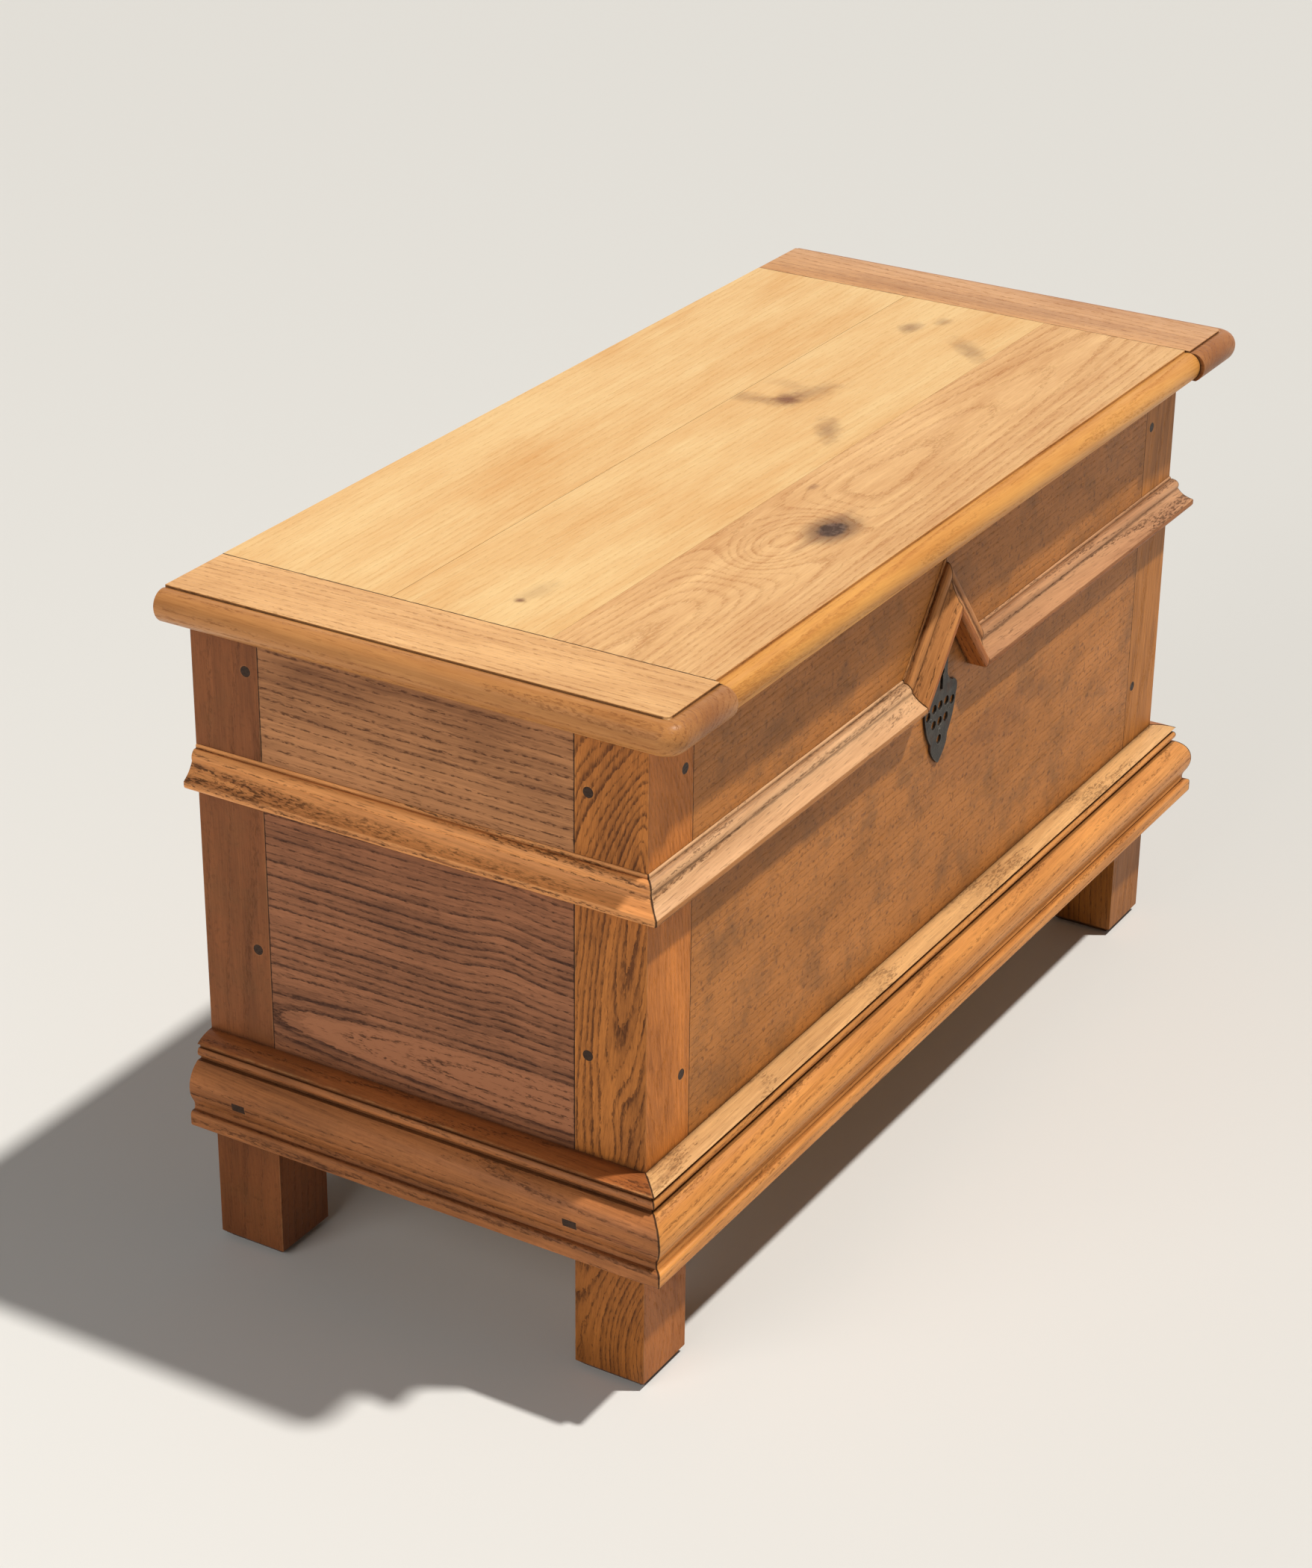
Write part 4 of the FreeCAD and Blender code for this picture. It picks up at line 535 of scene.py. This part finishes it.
FINISHES = {
    "post_front_left": oak(
        "oak_post_front_left", (-445, -172, 432), (-0.1, -0.1, 1), ring=4.4, wobble=6.5, band=0.52,
        contrast=0.5, pores=0.65, streak=0.4, tints=FOOT + SHADED_SIDE, calm=CALM_FRONT, bare=CASE_INSIDE,
        knots=[
            ((-445, -182, 572), (90, 66, 105), 50, None), ((-445, -161, 236), (60, 11, 30), 6, None),
            ((-445, -148, 205), (60, 8, 22), -4, None), ((-445, -195, 40), (60, 55, 75), 48, None),
        ],
        **POST,
    ),
    "post_front_right": oak(
        "oak_post_front_right", (430, -60, 260), (0.05, 0.04, 1), ring=5, contrast=0.3, calm=CALM_FRONT,
        tints=FOOT, bare=CASE_INSIDE, **POST_RIGHT,
    ),
    "post_rear_left": oak(
        "oak_post_rear_left", (-300, 120, 300), (0.04, 0.02, 1), ring=8, contrast=0.1, pores=0.3,
        streak=0.4, blotch=0.9, mottle=0.3, bare=CASE_INSIDE, **POST_DARK,
    ),
    "post_rear_right": oak(
        "oak_post_rear_right", (380, 150, 200), (0.06, 0.1, 1), ring=5, contrast=0.4, tints=FOOT,
        bare=CASE_INSIDE, **POST_DARK,
    ),
    "front_upper_board": oak(
        "oak_front_upper", (0, -120, -400), (1, 0.01, 0.02), ring=6, contrast=0.06, pores=0.2, streak=0.16,
        fibre=0.28, blotch=0.5, mottle=0.5, seams_and_groove_shade=FRONT_SEAMS, bare=CASE_INSIDE, **FRONT,
    ),
    "front_lower_board": oak(
        "oak_front_lower", (60, -60, -500), (1, 0.01, 0.03), ring=6, contrast=0.06, pores=0.2, streak=0.12,
        fibre=0.28, blotch=0.5, mottle=0.6, seams_and_groove_shade=FRONT_SEAMS, bare=CASE_INSIDE,
        stains=[
            ((-372, -180, 349), (60, 6, 0.9), 0, 0.8), ((90, -180, 330), (110, 6, 40), 0, 0.22),
            ((-120, -180, 376), (9, 6, 5), 0, 0.6),
        ],
        **FRONT,
    ),
    "back_upper_board": oak(
        "oak_back_upper", (0, 120, 520), (1, 0.05, 0.02), ring=6, contrast=0.4,
        seams_and_groove_shade=FRONT_SEAMS + [BACK_JOINT], bare=CASE_INSIDE, **FRONT,
    ),
    "back_lower_board": oak(
        "oak_back_lower", (-80, 130, 240), (1, 0.12, 0.0), ring=8, contrast=0.45,
        seams_and_groove_shade=FRONT_SEAMS + [BACK_JOINT], bare=CASE_INSIDE, **FRONT,
    ),
    "left_upper_board": oak(
        "oak_left_upper", (-400, 0, -160), (0, 1, 0.015), ring=7.6, wobble=4, band=0.4, contrast=0.27,
        pores=0.9, blotch=0.9, seams_and_groove_shade=END_SEAMS, bare=CASE_INSIDE, **END_UPPER,
    ),
    "left_lower_board": oak(
        "oak_left_lower", (-445, -101, 224), (0.085, 1, 0), ring=6.6, wobble=4, band=0.46, contrast=0.56,
        pores=0.8, shift=-7.0, heart=19, seams_and_groove_shade=END_SEAMS, bare=CASE_INSIDE,
        knots=[((-445, -60, 345), (60, 26, 75), -6, None)], **END_LOWER,
    ),
    "right_upper_board": oak(
        "oak_right_upper", (400, 0, 300), (0.06, 1, 0.1), ring=8, contrast=0.45, pores=0.8, seams_and_groove_shade=END_SEAMS,
        bare=CASE_INSIDE, **END_UPPER,
    ),
    "right_lower_board": oak(
        "oak_right_lower", (430, 60, 300), (-0.09, 1, 0.05), ring=10, band=0.4, contrast=0.6,
        seams_and_groove_shade=END_SEAMS, bare=CASE_INSIDE, **END_LOWER,
    ),
    "base_moulding_front": oak(
        "oak_base_front", (0, -140, 40), (1, 0.01, 0.03), ring=5, contrast=0.3, pores=0.45, rub_and_highlight=0.5,
        dirt_and_shade=0.6, seams_and_groove_shade=[LEFT_CORNER, RIGHT_CORNER], tints=BASE_LOWER, **BASE_FRONT,
    ),
    "base_moulding_left": oak(
        "oak_base_left", (-400, 0, 90), (0.03, 1, 0.05), ring=5, contrast=0.3, blotch=0.8, mottle=0.15,
        rub_and_highlight=0.5, dirt_and_shade=0.6, seams_and_groove_shade=[LEFT_CORNER],
        stains=[((-474, -170, 149), (12, 46, 0.8), 0, 0.85)], tints=BASE_LEDGE, **BASE_END,
    ),
    "base_moulding_right": oak(
        "oak_base_right", (400, 0, 80), (0.05, 1, 0.03), ring=5, contrast=0.3, rub_and_highlight=0.5, dirt_and_shade=0.6,
        seams_and_groove_shade=[RIGHT_CORNER], **BASE_END,
    ),
    "mid_moulding_left": oak(
        "oak_mid_left", (-400, 0, 350), (0.02, 1, 0.03), ring=5, contrast=0.3, pores=0.8, rub_and_highlight=0.5,
        dirt_and_shade=0.55, seams_and_groove_shade=[LEFT_CORNER], **MID_END,
    ),
    "mid_moulding_right": oak(
        "oak_mid_right", (400, 0, 340), (0.02, 1, -0.03), ring=5, contrast=0.3, pores=0.8, rub_and_highlight=0.5,
        dirt_and_shade=0.55, seams_and_groove_shade=[RIGHT_CORNER], **MID_END,
    ),
    "mid_moulding_front_left": oak(
        "oak_mid_front_left", (0, -120, 360), (1, 0.02, 0.03), ring=5, contrast=0.35, pores=0.6, rub_and_highlight=0.5,
        dirt_and_shade=0.55, tints=nose(*LEVEL), seams_and_groove_shade=[LEFT_CORNER, LEFT_TURN] + groove_shade(*LEVEL), **MID_FRONT,
    ),
    "mid_moulding_front_right": oak(
        "oak_mid_front_right", (0, -130, 350), (1, -0.02, -0.03), ring=5, contrast=0.25, pores=0.7, rub_and_highlight=0.5,
        dirt_and_shade=0.55, tints=nose(*LEVEL), seams_and_groove_shade=[RIGHT_CORNER, RIGHT_TURN] + groove_shade(*LEVEL), **MID_RIGHT,
    ),
    "chevron_arm_left": oak(
        "oak_chevron_left", (-40, -140, 420), (RISE[0], 0, RISE[1]), ring=5, contrast=0.25, pores=0.7,
        rub_and_highlight=0.5, dirt_and_shade=0.55, tints=nose(*LEFT_RISE), seams_and_groove_shade=[LEFT_TURN, APEX] + groove_shade(*LEFT_RISE),
        **CHEVRON,
    ),
    "chevron_arm_right": oak(
        "oak_chevron_right", (40, -140, 420), (-RISE[0], 0, RISE[1]), ring=5, contrast=0.25, pores=0.7,
        rub_and_highlight=0.5, dirt_and_shade=0.55, tints=nose(*RIGHT_RISE), seams_and_groove_shade=[RIGHT_TURN, APEX] + groove_shade(*RIGHT_RISE),
        **CHEVRON,
    ),
    "lid_board_rear": oak(
        "oak_lid_rear", (0, 900, 420), (1, 0.01, 0.02), ring=6, wobble=4, contrast=0.1, pores=0.1,
        streak=0.35, fibre=0.4, blotch=0.9, seams_and_groove_shade=CLAMP_SEAMS, bare=LID_UNDER, **LID_PALE,
    ),
    "lid_board_middle": oak(
        "oak_lid_middle", (0, 700, 400), (1, -0.02, 0.02), ring=6, wobble=5, contrast=0.1, pores=0.1,
        streak=0.35, fibre=0.4, blotch=0.9, seams_and_groove_shade=CLAMP_SEAMS, bare=LID_UNDER,
        stains=[
            ((112, 23, 571), (14, 10, 20), 0, 0.85), ((130, 16, 571), (36, 14, 20), -15, 0.4),
            ((98, 45, 571), (11, 28, 20), 8, 0.4), ((141, 40, 571), (10, 20, 20), -10, 0.15),
            ((66, -38, 571), (28, 10, 20), 30, 0.5), ((325, 21, 571), (15, 9, 20), 0, 0.55),
            ((353, 4, 571), (10, 7, 20), 0, 0.4), ((298, -50, 571), (30, 11, 20), 48, 0.42),
            ((-355, -17, 571), (4, 4, 20), 0, 0.8), ((-336, -19, 571), (24, 9, 20), -8, 0.22),
        ],
        **LID_PALE,
    ),
    "lid_board_front": oak(
        "oak_lid_front", (-160, -124, 531), (1, 0.0, -0.045), ring=5.0, wobble=2.2, band=0.5, contrast=0.25,
        pores=0.2, streak=0.45, fibre=0.4, dirt_and_shade=0.35, seams_and_groove_shade=CLAMP_SEAMS, bare=LID_UNDER, tints=BOARD_NOSE,
        knots=[
            ((-158, -122, 571), (72, 32, 60), 58, None), ((-118, -142, 571), (30, 20, 40), 6, (19, 12, 14)),
        ],
        stains=[
            ((-152, -139, 571), (22, 5, 20), 0, 0.3), ((-92, -137, 571), (18, 5, 20), 0, 0.3),
            ((-50, -88, 571), (7, 4, 20), 0, 0.5),
        ],
        **LID_BROWN,
    ),
    "clamp_left": oak(
        "oak_clamp_left", (-300, 0, 430), (0.01, 1, 0.03), ring=5, contrast=0.1, pores=0.45, streak=0.35,
        blotch=0.7, dull=-0.12, bare=LID_UNDER, tints=CLAMP_NOSE,
        stains=[((-432, -221, 556), (36, 13, 20), 0, 0.45)], **CLAMP,
    ),
    "clamp_right": oak(
        "oak_clamp_right", (520, 0, 440), (0.02, 1, -0.04), ring=5, contrast=0.15, pores=0.4, streak=0.35,
        blotch=0.7, dull=-0.12, bare=LID_UNDER, tints=CLAMP_NOSE,
        stains=[((420, 0, 571), (16, 240, 20), 0, 0.3), ((432, -221, 556), (36, 13, 20), 0, 0.4)],
        **CLAMP_BROWN,
    ),
}
PEG_OAK = oak("oak_pegs", (0, 0, 0), (1, 0.6, 0.2), ring=2.5, contrast=0.5, pores=0.8, rub_and_highlight=0.0, **PEG)
for name in (
    "pegs_front", "pegs_back", "pegs_left", "pegs_right", "moulding_plugs_left", "moulding_plugs_right",
):
    FINISHES[name] = PEG_OAK
BARE_X = oak("oak_bare_x", (0, 20, 60), (1, 0.04, 0.03), ring=8, contrast=0.45, dull=0.3, **BARE)
BARE_Y = oak("oak_bare_y", (0, 20, 60), (0.04, 1, 0.03), ring=8, contrast=0.45, dull=0.3, **BARE)
for name in ("bearer_front", "bearer_rear", "floor_board_front", "floor_board_middle", "floor_board_rear"):
    FINISHES[name] = BARE_X
for name in ("bearer_left", "bearer_right"):
    FINISHES[name] = BARE_Y
IRON = iron("iron_dark", srgb(76, 71, 65), srgb(42, 39, 36))
for name in nodes:
    FINISHES.setdefault(name, IRON)

# Widths of the worn convex edges, in millimetres, by the start of a piece's name.
EDGES = {
    "post": 1.6, "base": 0.9, "mid": 0.9, "chevron": 0.9, "lid_board": 0.5, "clamp": 0.5, "bearer": 1.0,
    "floor_board": 1.0, "escutcheon": 0.3,
}
SHARP_PIECES = ("escutcheon_pins",)
WELD_DISTANCE = 0.02 * MM
FLAT_ANGLE = math.radians(0.6)
EDGE_SEGMENTS = 3


def wear(piece, width):
    """Rounds the sharp convex edges of a piece with modifiers, so that its mesh stays as it is."""
    piece.modifiers.new("weld", "WELD").merge_threshold = WELD_DISTANCE
    merged = piece.modifiers.new("merge", "DECIMATE")
    merged.decimate_type = "DISSOLVE"
    merged.angle_limit = FLAT_ANGLE
    piece.modifiers.new("convex", "NODES").node_group = CONVEX_EDGES
    edge = piece.modifiers.new("edge", "BEVEL")
    edge.width = width * MM
    edge.segments = EDGE_SEGMENTS
    edge.limit_method = "WEIGHT"
    edge.use_clamp_overlap = True
    edge.harden_normals = True


for name, piece in nodes.items():
    piece.data.materials.clear()
    piece.data.materials.append(FINISHES[name])
    width = next((w for start, w in EDGES.items() if name.startswith(start)), 0.0)
    if width and name not in SHARP_PIECES:
        wear(piece, width)

# Floor, in metres.
FLOOR_HALF = 60.0
FLOOR_CORNERS = ((-1, -1), (1, -1), (1, 1), (-1, 1))
FLOOR_TONE = srgb(216, 216, 214)
FLOOR_ROUGHNESS = 0.85

floor_mesh = bpy.data.meshes.new("floor")
floor_mesh.from_pydata(
    [(x * FLOOR_HALF, y * FLOOR_HALF, 0.0) for x, y in FLOOR_CORNERS], [], [(0, 1, 2, 3)]
)
floor = bpy.data.objects.new("floor", floor_mesh)
bpy.context.scene.collection.objects.link(floor)
pale = bpy.data.materials.new("pale_floor")
pale.use_nodes = True
paint = pale.node_tree.nodes["Principled BSDF"].inputs
paint["Base Color"].default_value = FLOOR_TONE
paint["Roughness"].default_value = FLOOR_ROUGHNESS
floor_mesh.materials.append(pale)

SKY_TONE, SKY_STRENGTH = (1.0, 0.97, 0.93, 1.0), 0.1
BACKDROP_TONE, BACKDROP_STRENGTH = srgb(236, 236, 234), 1.0


def studio_world():
    """A world that lights softly, and is pale where it is seen directly, mirrored or through glass."""
    world = bpy.data.worlds.new("studio")
    world.use_nodes = True
    t = Tree(world.node_tree)
    t.tree.nodes.clear()
    soft = t.add("ShaderNodeBackground", {"Color": SKY_TONE, "Strength": SKY_STRENGTH}).outputs[0]
    backdrop = t.add(
        "ShaderNodeBackground", {"Color": BACKDROP_TONE, "Strength": BACKDROP_STRENGTH}
    ).outputs[0]
    path = t.add("ShaderNodeLightPath").outputs
    seen = t.math("MAXIMUM", path["Is Glossy Ray"], path["Is Transmission Ray"])
    seen = t.math("MAXIMUM", path["Is Camera Ray"], seen)
    surface = t.add("ShaderNodeMixShader", {0: seen, 1: soft, 2: backdrop}).outputs[0]
    t.add("ShaderNodeOutputWorld", {"Surface": surface})
    return world


bpy.context.scene.world = studio_world()


def lamp(name, kind, place, target, colour, energy, **settings):
    """A lamp at a place, in metres, turned to a target."""
    data = bpy.data.lights.new(name, kind)
    data.color = colour
    data.energy = energy
    for setting, value in settings.items():
        setattr(data, setting, value)
    light = bpy.data.objects.new(name, data)
    light.location = place
    light.visible_camera = False
    light.rotation_euler = (Vector(target) - Vector(place)).to_track_quat("-Z", "Y").to_euler()
    bpy.context.scene.collection.objects.link(light)


# A high warm sun before the chest, and a wide soft disk on its left.
MIDDLE = (0.0, 0.0, 0.3)
SUN_PLACE, SUN_TONE, SUN_STRENGTH = (0.93, -1.55, 4.2), (1.0, 0.96, 0.9), 3.3
SUN_ANGLE = math.radians(2.5)
FILL_PLACE, FILL_TONE, FILL_POWER = (-3.3, 0.5, 1.6), (1.0, 0.98, 0.95), 44.0
FILL_SIZE = 2.6
lamp("key", "SUN", SUN_PLACE, MIDDLE, SUN_TONE, SUN_STRENGTH, angle=SUN_ANGLE)
lamp("fill", "AREA", FILL_PLACE, MIDDLE, FILL_TONE, FILL_POWER, shape="DISK", size=FILL_SIZE)

# Camera at the photograph's viewing angle.
EYE = (-2.2893, -1.2875, 1.5733)
SIGHT = (0.76896, 0.45939, -0.44460)
ROLL = math.radians(0.576)
LENS, SENSOR_WIDTH = 80.86, 36.0
CLIP_START, CLIP_END = 0.05, 100.0
camera = bpy.data.objects.new("camera", bpy.data.cameras.new("camera"))
camera.data.lens = LENS
camera.data.sensor_width = SENSOR_WIDTH
camera.data.clip_start, camera.data.clip_end = CLIP_START, CLIP_END
camera.location = EYE
camera.rotation_euler = (
    Vector(SIGHT).to_track_quat("-Z", "Y").to_matrix() @ Matrix.Rotation(ROLL, 3, "Z")
).to_euler()
bpy.context.scene.collection.objects.link(camera)
bpy.context.scene.camera = camera
bpy.context.scene.view_settings.view_transform = "Standard"
